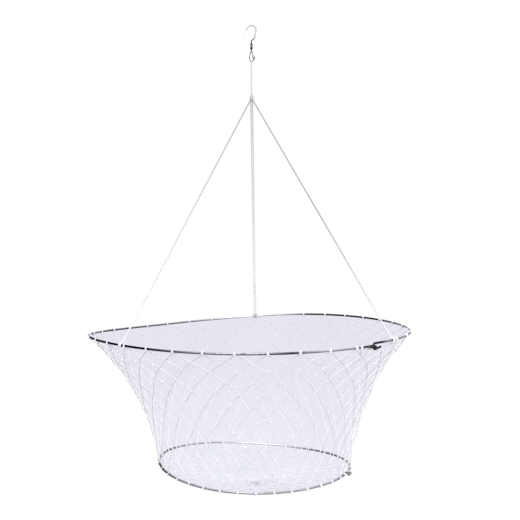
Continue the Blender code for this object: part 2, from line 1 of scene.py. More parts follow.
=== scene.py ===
import bpy
import numpy as np
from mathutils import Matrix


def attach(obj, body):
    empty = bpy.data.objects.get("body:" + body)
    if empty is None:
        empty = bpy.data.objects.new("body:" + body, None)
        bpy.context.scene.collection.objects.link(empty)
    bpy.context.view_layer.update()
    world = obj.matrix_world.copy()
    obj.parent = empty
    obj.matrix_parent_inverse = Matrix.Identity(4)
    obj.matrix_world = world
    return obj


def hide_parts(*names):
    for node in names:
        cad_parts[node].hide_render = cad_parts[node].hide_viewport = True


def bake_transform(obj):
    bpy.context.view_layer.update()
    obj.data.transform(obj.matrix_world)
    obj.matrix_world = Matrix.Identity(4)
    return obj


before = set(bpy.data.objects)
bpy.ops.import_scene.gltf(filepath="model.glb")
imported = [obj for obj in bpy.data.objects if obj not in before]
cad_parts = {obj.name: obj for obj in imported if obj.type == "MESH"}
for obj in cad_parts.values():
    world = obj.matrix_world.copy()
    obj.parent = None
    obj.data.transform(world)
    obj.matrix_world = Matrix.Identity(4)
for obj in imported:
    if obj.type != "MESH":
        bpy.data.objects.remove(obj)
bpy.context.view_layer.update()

# Camera. It stands a little over 2 m in front of the hanging net, level with the middle of the
# bridle's legs, and looks very slightly down, so the near side of each hoop lies lower in the view.
photo_width = 520
focal_pixels = 898.0
camera_place = (0.01937, -2.16374, -0.49856)
camera_dip = 0.02851
camera_roll = 0.0027
camera_data = bpy.data.cameras.new("camera")
camera_data.sensor_width = 36
camera_data.lens = focal_pixels / photo_width * camera_data.sensor_width
camera = bpy.data.objects.new("camera", camera_data)
camera.location = camera_place
camera.rotation_euler = (np.pi / 2 - camera_dip, camera_roll, 0)
bpy.context.scene.collection.objects.link(camera)
bpy.context.scene.camera = camera
bpy.context.scene.view_settings.view_transform = "Standard"


# Bridle. One white braided cord is doubled through the snap and tied in a knot under it, and its
# strands run taut to three hitches on the large hoop: one each to the left and the right, and two
# to the rear. Everything below is in metres, from the point where the hook bears.
mm = 0.001
full_turn = 2 * np.pi
cord_diameter = 3.0 * mm
braid_pick = 2.1 * mm
braid_plies, braid_turns = 4, 238
knot_drop = 171.5 * mm
knot_length = 17 * mm
loop_spacing = 3.6 * mm
rear_spacing = 4.0 * mm
bridle_angles = {"left": 224.5, "right": 324.0, "rear": 88.0}
seat_gap = 0.3 * mm
cord_step = 0.65 * mm
rod_radius = 2.38 * mm
top_hoop = {
    "radius": 381 * mm,
    "height": -732.7 * mm,
    "side": -8.6 * mm,
    "tilt": 0.018,
    "bend": (0.0014, 0.0157, -0.0054, -0.0050),
    "oval": (-0.0003, -0.0111),
    "joint": 313.4,
    "eye_radius": 6.2 * mm,
    "eye_length": 21 * mm,
}
bottom_hoop = {
    "radius": 228.6 * mm,
    "height": -1054.7 * mm,
    "side": 3.5 * mm,
    "tilt": -0.0434,
    "bend": (0.0224, -0.0141, 0.0, 0.0),
    "oval": (-0.0013, 0.0026),
    "joint": 345.0,
    "eye_radius": 6 * mm,
    "eye_length": 12 * mm,
}


def unit(vectors):
    """Each vector over its own length."""
    return vectors / np.linalg.norm(vectors, axis=-1, keepdims=True)


def hoop_line(hoop, degrees):
    """The middle of a hoop at each angle a. Its radius is R (1 + o1 cos 2a + o2 sin 2a), and its
    height is h + tilt x + R (b1 cos 2a + b2 sin 2a + b3 cos 3a + b4 sin 3a)."""
    a = np.radians(degrees)
    oval, bend = hoop["oval"], hoop["bend"]
    radius = hoop["radius"] * (1 + oval[0] * np.cos(2 * a) + oval[1] * np.sin(2 * a))
    wave = bend[0] * np.cos(2 * a) + bend[1] * np.sin(2 * a)
    wave = wave + bend[2] * np.cos(3 * a) + bend[3] * np.sin(3 * a)
    x, y = radius * np.cos(a), radius * np.sin(a)
    z = hoop["height"] + hoop["tilt"] * x + hoop["radius"] * wave
    return np.stack([x + hoop["side"], y, z], axis=-1)


def hoop_axes(hoop, degrees):
    """The hoop's own direction, the outward one and the upward one, square to one another."""
    along = unit(hoop_line(hoop, degrees + 1) - hoop_line(hoop, degrees - 1))
    outward = unit(np.cross(along, (0.0, 0.0, 1.0)))
    return along, outward, np.cross(outward, along)


def rod_line(hoop, degrees):
    """The middle of the rod, which leaves the hoop's own line by half an eye's radius, up and out
    where the rod starts and down and in where it ends, so that its two end eyes pass."""
    degrees = np.asarray(degrees, float)
    _, outward, upward = hoop_axes(hoop, degrees)
    share = ((degrees - hoop["joint"]) % 360) / 360
    shift = hoop["eye_radius"] / 2 * (1 - 2 * share)
    return hoop_line(hoop, degrees) + shift[..., None] * (outward + upward)


def smooth_line(points, per_span):
    """Catmull-Rom curves. On the span from b to c, with a before and d after it, the point at t is
    (2b + (c-a) t + (2a-5b+4c-d) t^2 + (3b-a-3c+d) t^3) / 2. Points are (lines, points, 3)."""
    p = np.asarray(points, float)
    p = p[None] if p.ndim == 2 else p
    first = 2 * p[:, :1] - p[:, 1:2]
    last = 2 * p[:, -1:] - p[:, -2:-1]
    p = np.concatenate([first, p, last], axis=1)
    a, b, c, d = (p[:, i : p.shape[1] - 3 + i, None] for i in range(4))
    t = (np.arange(per_span) / per_span)[None, None, :, None]
    curve = 2 * b + (c - a) * t + (2 * a - 5 * b + 4 * c - d) * t**2
    curve = (curve + (3 * b - a - 3 * c + d) * t**3) / 2
    curve = curve.reshape(p.shape[0], -1, 3)
    return np.concatenate([curve, p[:, -2:-1]], axis=1)


def even_line(route, gap, tip=0.0):
    """A route's points set `gap` apart. Over each end, for a length `tip`, they are set where a
    ball of that radius has 20, 45 and 90 degrees of its quarter turn, and the share of the full
    radius there is the sine of that. Returns the points and the shares."""
    steps = np.linalg.norm(np.diff(route, axis=0), axis=1)
    run = np.concatenate([[0], np.cumsum(steps)])
    count = max(2, int(np.ceil((run[-1] - 2 * tip) / gap)) + 1)
    along = np.linspace(tip, run[-1] - tip, count)
    share = np.ones(count)
    if tip:
        turn = np.radians([20, 45])
        near = tip * (1 - np.cos(turn))
        along = np.concatenate([near, along, run[-1] - near[::-1]])
        share = np.concatenate([np.sin(turn), share, np.sin(turn)[::-1]])
    points = np.stack([np.interp(along, run, route[:, k]) for k in range(3)], axis=1)
    return points, share


def make_piece(name, points, faces_4, fans, uv_4, uv_fans):
    """A mesh from whole arrays: points, four-cornered faces, and end faces of one size each, with
    the UV of every corner."""
    mesh = bpy.data.meshes.new(name)
    corners = [faces_4.ravel(), fans.ravel()]
    sizes = np.concatenate([np.full(len(faces_4), 4), np.full(len(fans), fans.shape[1])])
    mesh.vertices.add(len(points))
    mesh.vertices.foreach_set("co", points.ravel().astype(np.float32))
    mesh.loops.add(int(sizes.sum()))
    mesh.loops.foreach_set("vertex_index", np.concatenate(corners).astype(np.int32))
    mesh.polygons.add(len(sizes))
    starts = np.concatenate([[0], np.cumsum(sizes)[:-1]])
    mesh.polygons.foreach_set("loop_start", starts.astype(np.int32))
    mesh.update(calc_edges=True)
    layer = mesh.uv_layers.new(name="UVMap")
    uv = np.concatenate([uv_4.reshape(-1, 2), uv_fans.reshape(-1, 2)])
    layer.data.foreach_set("uv", uv.ravel().astype(np.float32))
    mesh.polygons.foreach_set("use_smooth", np.ones(len(sizes), bool))
    mesh.validate()
    piece = bpy.data.objects.new(name, mesh)
    bpy.context.scene.collection.objects.link(piece)
    return piece


def tube_piece(name, points, length, closed):
    """A mesh over rings of points, given as (lines, rings, corners, 3), with a flat face over the
    first and the last ring of a line that isn't closed. In the UV map u is the length so far, which
    has one entry more than there are rings where the line is closed, and v the share of a turn."""
    count, rings, sides, _ = points.shape
    spans = rings if closed else rings - 1
    at = np.arange(count * rings * sides).reshape(count, rings, sides)
    here, nxt = at[:, :spans], np.roll(at, -1, axis=1)[:, :spans]
    quads = np.stack([here, np.roll(here, -1, 2), np.roll(nxt, -1, 2), nxt], axis=-1)
    u_here = np.repeat(length[:, :spans, None], sides, 2)
    u_next = np.repeat(length[:, 1 : spans + 1, None], sides, 2)
    v_here = np.broadcast_to(np.arange(sides) / sides, u_here.shape)
    v_next = v_here + 1 / sides
    corner_u = np.stack([u_here, u_here, u_next, u_next], axis=-1)
    corner_v = np.stack([v_here, v_next, v_next, v_here], axis=-1)
    uv = np.stack([corner_u, corner_v], axis=-1).reshape(-1, 4, 2)
    fans = np.zeros((0, sides), int)
    if not closed:
        fans = np.concatenate([at[:, 0, ::-1], at[:, -1]])
    fan_uv = np.zeros((len(fans), sides, 2))
    return make_piece(name, points.reshape(-1, 3), quads.reshape(-1, 4), fans, uv, fan_uv)


def strands(name, routes, radius, sides, share=None, relief=None, lay=0.0, closed=False):
    """Round strands along many routes at once. Two axes are carried along each route, squared to
    its direction again at each station. Corner j of a section is at angle w = 2 pi j / sides and
    stands at route + r (cos(w + 2 pi lay s) first + sin(w + 2 pi lay s) second), where s is the
    length so far and r = radius * share * relief(w, s)."""
    p = np.asarray(routes, float)
    p = p[None] if p.ndim == 2 else p
    count, stations, _ = p.shape
    if closed:
        along = unit(np.roll(p, -1, axis=1) - np.roll(p, 1, axis=1))
    else:
        along = unit(np.gradient(p, axis=1))
    steep = np.abs(along[:, :1, 2:]) > 0.8
    square = np.where(steep, (1.0, 0.0, 0.0), (0.0, 0.0, 1.0))
    first = np.empty_like(p)
    first[:, 0] = unit(np.cross(along[:, 0], square[:, 0]))
    for i in range(1, stations):
        back = first[:, i - 1]
        lean = np.sum(back * along[:, i], axis=-1, keepdims=True)
        first[:, i] = unit(back - lean * along[:, i])
    second = np.cross(along, first)
    length = np.zeros((count, stations))
    length[:, 1:] = np.cumsum(np.linalg.norm(np.diff(p, axis=1), axis=-1), axis=1)
    w = (full_turn * np.arange(sides) / sides)[None, None, :]
    s = length[:, :, None]
    r = radius * np.ones((count, stations, sides))
    if share is not None:
        r = r * np.asarray(share)[None, :, None]
    if relief is not None:
        r = r * relief(w, s)
    turn = (w + full_turn * lay * s)[..., None]
    ring = np.cos(turn) * first[:, :, None] + np.sin(turn) * second[:, :, None]
    points = p[:, :, None] + r[..., None] * ring
    u = np.concatenate([length, length[:, -1:] + length[:, 1:2]], axis=1)
    return tube_piece(name, points, u, closed)


def braid_relief(w, s):
    """The crowns of a braid: 1 + 0.04 cos(4w + ks) cos(4w - ks), where k is pi over a pick."""
    k = np.pi / braid_pick
    return 1 + 0.04 * np.cos(4 * w + k * s) * np.cos(4 * w - k * s)


def new_group(name, inputs):
    """An empty shader group. Its inputs are numbers and colours with their plain values, and it
    puts out a colour, a height and a roughness. Returns it with the sockets inside it."""
    group = bpy.data.node_groups.new(name, "ShaderNodeTree")
    for label, value in inputs.items():
        kind = "NodeSocketFloat" if isinstance(value, float) else "NodeSocketColor"
        socket = group.interface.new_socket(label, in_out="INPUT", socket_type=kind)
        socket.default_value = value
    for label, kind in (("Colour", "Color"), ("Height", "Float"), ("Roughness", "Float")):
        group.interface.new_socket(label, in_out="OUTPUT", socket_type="NodeSocket" + kind)
    given = group.nodes.new("NodeGroupInput")
    return group, given.outputs, group.nodes.new("NodeGroupOutput").inputs


def add_node(tree, kind, inputs=(), **settings):
    """A shader node with its settings, and its inputs linked to sockets or set to plain values."""
    node = tree.nodes.new("ShaderNode" + kind)
    for name, value in settings.items():
        setattr(node, name, value)
    for slot, value in dict(inputs).items():
        if isinstance(value, bpy.types.NodeSocket):
            tree.links.new(value, node.inputs[slot])
        else:
            node.inputs[slot].default_value = value
    return node


def math_node(tree, kind, *values):
    """One Math node on sockets or plain numbers."""
    return add_node(tree, "Math", enumerate(values), operation=kind).outputs[0]


def mix_colour(tree, share, first, second, blend="MIX"):
    """A Mix node on colours: first at 0, second at 1."""
    inputs = {0: share, 6: first, 7: second}
    return add_node(tree, "Mix", inputs, data_type="RGBA", blend_type=blend).outputs[2]


def map_range(tree, value, start, end):
    """The share of the way from start to end, held between 0 and 1."""
    inputs = {"Value": value, "From Min": start, "From Max": end}
    return add_node(tree, "MapRange", inputs).outputs[0]


def parts_of(tree, kind):
    """The three parts of one kind of texture coordinate, or of the piece's own UV map."""
    if kind == "UV":
        place = add_node(tree, "UVMap", uv_map="UVMap").outputs[0]
    else:
        place = add_node(tree, "TexCoord").outputs[kind]
    return add_node(tree, "SeparateXYZ", {0: place}).outputs


def noise(tree, scale, detail=2.0, roughness=0.5):
    """A Noise Texture over the object's own coordinates."""
    place = add_node(tree, "TexCoord").outputs["Object"]
    inputs = {"Vector": place, "Scale": scale, "Detail": detail, "Roughness": roughness}
    return add_node(tree, "TexNoise", inputs).outputs[0]


def tone_ramp(tree, share, stops, blue=1.0):
    """A Color Ramp node: each stop is a place and a lightness, run straight into the next, with the
    blue a little over the rest."""
    ramp = add_node(tree, "ValToRGB", {0: share})
    steps = ramp.color_ramp.elements
    steps[0].position, steps[1].position = stops[0][0], stops[-1][0]
    for at, _ in stops[1:-1]:
        steps.new(at)
    for step, (_, tone) in zip(steps, stops):
        step.color = (tone, tone, tone * blue, 1)
    return ramp.outputs[0]


def shade_by(made, tone):
    """Multiplies a finish's base colour by a colour that changes over the piece: painted light and
    shade.
    """
    tree = made.node_tree
    colour = tree.nodes["Principled BSDF"].inputs["Base Color"]
    product = mix_colour(tree, 1.0, colour.links[0].from_socket, tone, "MULTIPLY")
    tree.links.new(product, colour)


def shade_along(made, length, stops):
    """Shades a finish along a strand of that length, by the length in its UV map."""
    tree = made.node_tree
    share = math_node(tree, "DIVIDE", parts_of(tree, "UV")[0], length)
    shade_by(made, tone_ramp(tree, share, stops))


def shade_across(made, axis, start, end, stops, blue=1.0):
    """Shades a finish from one place on an axis (0 X, 1 Y, 2 Z) to another."""
    tree = made.node_tree
    share = map_range(tree, parts_of(tree, "Object")[axis], start, end)
    shade_by(made, tone_ramp(tree, share, stops, blue))


# Yarn: light and dark plies that wind round a cord, with a fine fibre grain and patches of soiling
yarn_group, yarn_in, yarn_out = new_group(
    "yarn",
    {
        "Light": (0.8, 0.8, 0.8, 1),
        "Dark": (0.5, 0.5, 0.5, 1),
        "Plies": 2.0,
        "Turns per metre": 120.0,
        "Both ways": 0.0,
    },
)
fibre_scale, soiling_scale = 2600, 14
along_yarn, round_yarn, _ = parts_of(yarn_group, "UV")
wound = math_node(yarn_group, "MULTIPLY", along_yarn, yarn_in["Turns per metre"])
wrapped = math_node(yarn_group, "MULTIPLY", round_yarn, yarn_in["Plies"])
waves = []
for way in ("ADD", "SUBTRACT"):
    lay = math_node(yarn_group, way, wrapped, wound)
    waves.append(math_node(yarn_group, "COSINE", math_node(yarn_group, "MULTIPLY", lay, full_turn)))
crossed = math_node(yarn_group, "MULTIPLY", *waves)
one_way = math_node(yarn_group, "SUBTRACT", 1.0, yarn_in["Both ways"])
crown = math_node(yarn_group, "MULTIPLY", waves[0], one_way)
crown = math_node(yarn_group, "MULTIPLY_ADD", crossed, yarn_in["Both ways"], crown)
crown = math_node(yarn_group, "MULTIPLY_ADD", crown, 0.5, 0.5)
fibre = noise(yarn_group, fibre_scale)
lightness = math_node(yarn_group, "MULTIPLY", crown, 0.62)
lightness = math_node(yarn_group, "MULTIPLY_ADD", fibre, 0.28, lightness)
soiling = noise(yarn_group, soiling_scale, 3)
lightness = math_node(yarn_group, "MULTIPLY_ADD", soiling, 0.3, lightness)
yarn_colour = mix_colour(yarn_group, lightness, yarn_in["Dark"], yarn_in["Light"])
yarn_height = math_node(yarn_group, "MULTIPLY_ADD", fibre, 0.35, crown)
yarn_rough = math_node(yarn_group, "MULTIPLY_ADD", fibre, 0.3, 0.6)
for value, socket in zip((yarn_colour, yarn_height, yarn_rough), yarn_out):
    yarn_group.links.new(value, socket)


def group_finish(name, group, inputs, relief, strength):
    """A material whose colour, roughness and relief come from a shader group."""
    made = bpy.data.materials.new(name)
    made.use_nodes = True
    tree = made.node_tree
    shader = tree.nodes["Principled BSDF"]
    source = add_node(tree, "Group", inputs, node_tree=group).outputs
    height = {"Distance": relief, "Strength": strength, "Height": source["Height"]}
    bump = add_node(tree, "Bump", height)
    tree.links.new(source["Colour"], shader.inputs["Base Color"])
    tree.links.new(source["Roughness"], shader.inputs["Roughness"])
    tree.links.new(bump.outputs[0], shader.inputs["Normal"])
    return made, shader


def yarn_material(name, light, dark, relief, plies, turns, both_ways):
    """A cord's or twine's finish, with its colours and lay from the yarn group."""
    inputs = {"Light": (*light, 1), "Dark": (*dark, 1), "Plies": plies}
    inputs.update({"Turns per metre": turns, "Both ways": both_ways})
    made, shader = group_finish(name, yarn_group, inputs, relief, 0.6)
    shader.inputs["Sheen Weight"].default_value = 0.1
    shader.inputs["Specular IOR Level"].default_value = 0.25
    return made


def set_piece(piece, material, body=None, nodes=()):
    """Gives a piece its material, puts it on its body and hides the CAD nodes that it stands for."""
    piece.data.materials.clear()
    piece.data.materials.append(material)
    if body:
        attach(piece, body)
    if nodes:
        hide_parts(*nodes)


# All six are one white braided cord. The knot's copy, which the rear hitch also takes, and the
# doubled cord's copy are grey all over: painted shade.
left_white, right_white, hitch_white, knot_painted_shade, rear_painted_shade, doubled_painted_shade = (
    yarn_material(name + "_braid", light, dark, relief * mm, braid_plies, braid_turns, 1.0)
    for name, light, dark, relief in (
        ("left_bridle", (0.76, 0.76, 0.77), (0.70, 0.70, 0.71), 0.04),
        ("right_bridle", (0.76, 0.76, 0.77), (0.70, 0.70, 0.71), 0.04),
        ("hitched", (0.80, 0.80, 0.82), (0.68, 0.68, 0.71), 0.06),
        ("shaded_knot", (0.50, 0.49, 0.53), (0.43, 0.42, 0.46), 0.04),
        ("rear_bridle", (0.98, 0.965, 1.0), (0.86, 0.845, 0.90), 0.06),
        ("doubled", (0.52, 0.52, 0.53), (0.47, 0.47, 0.48), 0.04),
    )
)
# Painted shade along each leg: darkest at the knot, full tone at the hoop.
leg_length = 0.66
for braid, leg_shade in (
    (left_white, [(0.0, 0.4), (0.3, 0.52), (0.55, 0.7), (0.75, 0.8), (0.92, 0.95), (1.0, 1.0)]),
    (right_white, [(0.0, 0.4), (0.2, 0.46), (0.5, 0.42), (0.65, 0.54), (0.85, 0.78), (1.0, 1.0)]),
    (rear_painted_shade, [(0.0, 0.70), (0.4, 0.82), (0.75, 1.0), (1.0, 1.0)]),
):
    shade_along(braid, leg_length, leg_shade)

apex = np.array([0.0, 0.0, -knot_drop])
hitch_reach = rod_radius + seat_gap + cord_diameter
into_knot = knot_length * 0.42
into_hitch = cord_diameter * 0.4
for leg, side, shift, finish in (
    ("left", "left", 0.0, left_white),
    ("right", "right", 0.0, right_white),
    ("rear_left", "rear", rear_spacing / 2, rear_painted_shade),
    ("rear_right", "rear", -rear_spacing / 2, rear_painted_shade),
):
    foot = rod_line(top_hoop, bridle_angles[side])
    run = unit(foot - apex)
    beside = shift * unit(np.cross((0.0, 0.0, 1.0), run))
    start = apex + beside + run * into_knot
    end = foot + beside - run * (hitch_reach - into_hitch)
    path, _ = even_line(np.stack([start, end]), cord_step)
    piece = strands("braided_leg_" + leg, path, cord_diameter / 2, 16, relief=braid_relief)
    set_piece(piece, finish, None, ["bridle_leg_" + leg])
    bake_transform(piece)

# Hanging loop. The same cord, doubled through the lowest bend of the snap, whose two strands run
# down side by side into the knot.
snap_low = -85.712 * mm
snap_wire = 1.8 * mm
bight_radius = snap_wire / 2 + seat_gap + cord_diameter / 2
bight_turn = np.radians(np.linspace(0, 180, 19))
bight_level = snap_low + bight_radius * np.sin(bight_turn)
bight = np.stack([0 * bight_turn, bight_radius * np.cos(bight_turn), bight_level], axis=1)
strand_low = -knot_drop + knot_length / 2 - 2 * mm
strand_ends = [[0, loop_spacing / 2, strand_low], [0, -loop_spacing / 2, strand_low]]
loop_route = np.concatenate([strand_ends[:1], bight, strand_ends[1:]])
loop_path, _ = even_line(loop_route, cord_step)
loop = strands("doubled_cord", loop_path, cord_diameter / 2, 16, relief=braid_relief)
# The loop's grey is painted shade on the white cord.
set_piece(loop, doubled_painted_shade, "bridle_head", ["hanging_loop"])

# Bridle knot. Two strands wound side by side round the bundle and drawn tight, with one strand
# laid slantwise over them where the end comes out.
wound_turns = 1.6
wound_radius = 3.35 * mm
wound_height = 10.4 * mm
over_radius = wound_radius + 0.9 * mm
over_height = 12.8 * mm
end_share = 0.07
end_shift = 2.6 * mm


def round_z(reach, turn, height):
    """Points round the Z axis: (reach cos turn, reach sin turn, height)."""
    return np.stack([reach * np.cos(turn), reach * np.sin(turn), height], axis=-1)


sweep = np.linspace(0, 1, 61)
dive = 1 - np.exp(-((np.minimum(sweep, 1 - sweep) / end_share) ** 2))
knot_routes = []
for start_turn in (20, 200):
    turn = np.radians(start_turn + 360 * wound_turns * sweep)
    reach = wound_radius * (0.3 + 0.7 * dive)
    rise = wound_height * (0.5 - sweep) + end_shift * (1 - dive) * np.sign(0.5 - sweep)
    knot_routes.append(round_z(reach, turn, rise - knot_drop))
turn = np.radians(-150 + 120 * sweep)
reach = over_radius * np.sin(np.pi * (0.12 + 0.76 * sweep)) ** 0.5
knot_routes.append(round_z(reach, turn, over_height * (0.5 - sweep) - knot_drop))
knot = strands("bridle_knot", knot_routes, cord_diameter / 2, 14, relief=braid_relief)
# The knot's grey is painted shade on the white cord.
set_piece(knot, knot_painted_shade, "bridle_head", ["apex_knot"])


# Bridle hitches. Each leg ends in turns of the same cord drawn tight on the large hoop, two turns
# for a single strand and three for the pair at the rear, with one strand crossing over them.
def around_rod(hoop, degrees, advance, turn, reach):
    """Lines round a hoop's rod, one at each angle of the hoop. A point of a line is the rod's
    middle, plus `advance` on the rod's own direction, plus `reach` at `turn` from outward to
    upward."""
    middle = rod_line(hoop, degrees)[:, None]
    along, outward, upward = (axis[:, None] for axis in hoop_axes(hoop, degrees))
    around = np.cos(turn)[:, None] * outward + np.sin(turn)[:, None] * upward
    return middle + advance[:, None] * along + np.reshape(reach, (-1, 1)) * around


rod_seat = rod_radius + seat_gap + cord_diameter / 2
turn_spacing = 1.02 * cord_diameter
over_spacing = 0.62 * cord_diameter
drawn_radius = 0.97 * cord_diameter / 2
for side, turns in (("left", 2), ("right", 2), ("rear", 3)):
    at = np.array([bridle_angles[side]])
    sweep = np.linspace(0, 1, 40 * turns)
    turn = np.radians(90 + 360 * turns * sweep)
    wrap = around_rod(top_hoop, at, turn_spacing * turns * (sweep - 0.5), turn, rod_seat)
    turn = np.radians(150 - 260 * sweep)
    reach = rod_seat + over_spacing * np.sin(np.pi * sweep) ** 0.7
    crossing = around_rod(top_hoop, at, over_spacing * turns * (0.5 - sweep), turn, reach)
    routes = np.concatenate([wrap, crossing])
    hitch = strands("wound_hitch_" + side, routes, drawn_radius, 14, relief=braid_relief)
    # The rear hitch takes the knot's grey, painted shade.
    material = knot_painted_shade if side == "rear" else hitch_white
    set_piece(hitch, material, "top_ring_body", ["bridle_hitch_" + side])


# Hook. One length of bright spring wire, bent on pins in one plane: a long swept point, a crown, a
# shank that jogs back under the crown, and an eye turned square to the rest.
def bent(start, heading, moves):
    """Points of a wire bent in a plane. A run (d,) goes straight on. A bend (r, t) turns through t
    degrees on a pin of radius r, at centre + side r (sin h, -cos h) for each heading h."""
    at = np.asarray(start, float)
    points = [at[None]]
    for move in moves:
        h = np.radians(heading)
        if len(move) == 1:
            points.append((at + move[0] * np.array([np.cos(h), np.sin(h)]))[None])
        else:
            radius, turn = move
            side = np.sign(turn)
            centre = at + side * radius * np.array([-np.sin(h), np.cos(h)])
            steps = max(2, int(abs(turn) / 4))
            h = np.radians(heading + turn * np.arange(1, steps + 1) / steps)
            points.append(centre + side * radius * np.stack([np.sin(h), -np.cos(h)], axis=1))
            heading += turn
        at = points[-1][-1]
    return np.concatenate(points)


def in_front(points, height=0.0):
    """Stands a flat bend up in the plane of X and Z."""
    return np.stack([points[:, 0], np.zeros(len(points)), points[:, 1] + height], axis=1)


hook_wire = 2.6 * mm
crown_radius = 11 * mm
crown = (0, hook_wire / 2)
shank_turn, shank_run = 101, 16.5 * mm
jog_radius, jog_turn = 4 * mm, 42
jog_heading = -shank_turn - jog_turn
back_turn = -90 - jog_heading
shank_moves = [(crown_radius, -shank_turn), (shank_run,)]
shank_side = bent(crown, 0, shank_moves)[-1, 0]
lead_in = bent((0, 0), -shank_turn, [(jog_radius, -jog_turn)])[-1, 0]
lead_out = bent((0, 0), jog_heading, [(jog_radius, back_turn)])[-1, 0]
jog_run = -(shank_side + lead_in + lead_out) / np.cos(np.radians(jog_heading))
jog_moves = [(jog_radius, -jog_turn), (jog_run,), (jog_radius, back_turn)]
shank = bent(crown, 0, shank_moves + jog_moves)
point_turn, sweep_radius, sweep_turn, point_run = 53, 75 * mm, 18, 5 * mm
point_moves = [(crown_radius, point_turn), (sweep_radius, sweep_turn), (point_run,)]
eye_size = 3.0 * mm
eye_start, eye_end = 30, 320
eye_lead = eye_size * np.sin(np.radians(eye_start)) / (1 - np.cos(np.radians(90 - eye_start)))
eye_moves = [(eye_lead, 90 - eye_start), (eye_size, eye_start - eye_end)]
hook_eye = bent((0, shank[-1, 1]), -90, eye_moves)
point_side = bent(crown, 180, point_moves)
eye_line = np.stack([np.zeros(len(hook_eye)), hook_eye[:, 0], hook_eye[:, 1]], axis=1)
hook_route = np.concatenate([in_front(point_side)[::-1], in_front(shank)[1:], eye_line[1:]])
hook_points, hook_share = even_line(hook_route, 0.5 * mm, hook_wire / 2)
hook = strands("wire_hook", hook_points, hook_wire / 2, 16, hook_share)

# Metal: a base colour with finer and coarser patches, lighter where handling has rubbed it
metal_group, metal_in, metal_out = new_group(
    "metal_wear",
    {
        "Plain": (0.5, 0.5, 0.5, 1),
        "Rubbed": (0.7, 0.7, 0.7, 1),
        "Stained": (0.2, 0.2, 0.2, 1),
        "Patch scale": 60.0,
        "Base roughness": 0.3,
    },
)
grain_scale = 900
coarse = noise(metal_group, metal_in["Patch scale"], 4, 0.6)
fine = noise(metal_group, grain_scale, 3)
rubbed = map_range(metal_group, coarse, 0.5, 0.68)
stained = map_range(metal_group, coarse, 0.46, 0.34)
lighter = mix_colour(metal_group, rubbed, metal_in["Plain"], metal_in["Rubbed"])
metal_colour = mix_colour(metal_group, stained, lighter, metal_in["Stained"])
rougher = math_node(metal_group, "MULTIPLY_ADD", fine, 0.2, -0.1)
rougher = math_node(metal_group, "ADD", rougher, metal_in["Base roughness"])
rougher = math_node(metal_group, "MULTIPLY_ADD", stained, 0.2, rougher)
for value, socket in zip((metal_colour, fine, rougher), metal_out):
    metal_group.links.new(value, socket)


def metal_material(name, plain, rubbed_to, stain, patch_scale, roughness, grain, metallic=0.9):
    """A metal finish, with its patches and grain from the metal_wear group."""
    inputs = {"Plain": (*plain, 1), "Rubbed": (*rubbed_to, 1), "Stained": (*stain, 1)}
    inputs.update({"Patch scale": patch_scale, "Base roughness": roughness})
    made, shader = group_finish(name, metal_group, inputs, grain, 0.4)
    shader.inputs["Metallic"].default_value = metallic
    return made


bright_wire = metal_material(
    "bright_spring_wire", (0.9, 0.9, 0.91), (1.0, 1.0, 1.0), (0.78, 0.78, 0.79), 120, 0.5,
    0.03 * mm, 1.0,
)
hook_length = float(np.linalg.norm(np.diff(hook_points, axis=0), axis=1).sum())
# Painted reflection and shade along the hook, from the point to the eye: pale at the point, darker
# over the crown and shank, near black at the eye.
hook_painted_light = [(0.0, 0.78), (0.14, 0.70), (0.22, 0.46), (0.32, 0.28), (0.46, 0.34), (0.62, 0.42)]
hook_painted_light += [(0.7, 0.26), (0.78, 0.03), (1.0, 0.01)]
shade_along(bright_wire, hook_length, hook_painted_light)
set_piece(hook, bright_wire, "hook", ["hanging_hook"])

# Barrel swivel. A turned barrel closed over the heads of two wire eyes, all plated nearly black,
# so that each eye turns freely and a twisted line unwinds.
swivel_wire = 1.6 * mm
swivel_eye_radius = 2.6 * mm
swivel_centre = float(hook_eye[:, 1].min()) + hook_wire / 2 + seat_gap + swivel_wire / 2
swivel_centre -= swivel_eye_radius
barrel_length = 7 * mm
barrel_top = swivel_centre - swivel_eye_radius - swivel_wire / 2 - 0.6 * mm
barrel_middle = barrel_top - barrel_length / 2
lower_centre = 2 * barrel_middle - swivel_centre


def turned(name, profile, middle, steps=48, closed=False):
    """A turned piece about the Z axis, its own zero at height `middle`: point (r, z) of the profile
    goes round to (r cos a, r sin a, middle + z). A profile runs anticlockwise with r to the right
    and z up, so faces point out; an open one has a flat face over its first and last ring."""
    profile = np.asarray(profile, float) + (0.0, middle)
    a = full_turn * np.arange(steps) / steps
    flat = profile[:, :1, None] * np.stack([np.cos(a), np.sin(a)], axis=-1)
    heights = np.broadcast_to(profile[:, 1, None, None], (*flat.shape[:2], 1))
    points = np.concatenate([flat, heights], axis=-1)
    gaps = np.linalg.norm(np.diff(profile, axis=0, append=profile[:1]), axis=1)
    run = np.concatenate([[0], np.cumsum(gaps)])
    return tube_piece(name, points[None], run[None], closed)


def rounded(profile, cut):
    """Cuts each corner of a closed profile back by `cut` on both sides and once more by 0.3 of
    that, so that it is turned with a small radius."""
    points = np.asarray(profile, float)
    for share in (1.0, 0.3):
        before = unit(np.roll(points, 1, axis=0) - points)
        after = unit(np.roll(points, -1, axis=0) - points)
        pair = np.stack([points + cut * share * before, points + cut * share * after], axis=1)
        points = pair.reshape(-1, 2)
    return points


def upside_down(profile):
    """A profile turned top to bottom, and run the other way so that it is still anticlockwise."""
    return [(r, -z) for r, z in reversed(profile)]


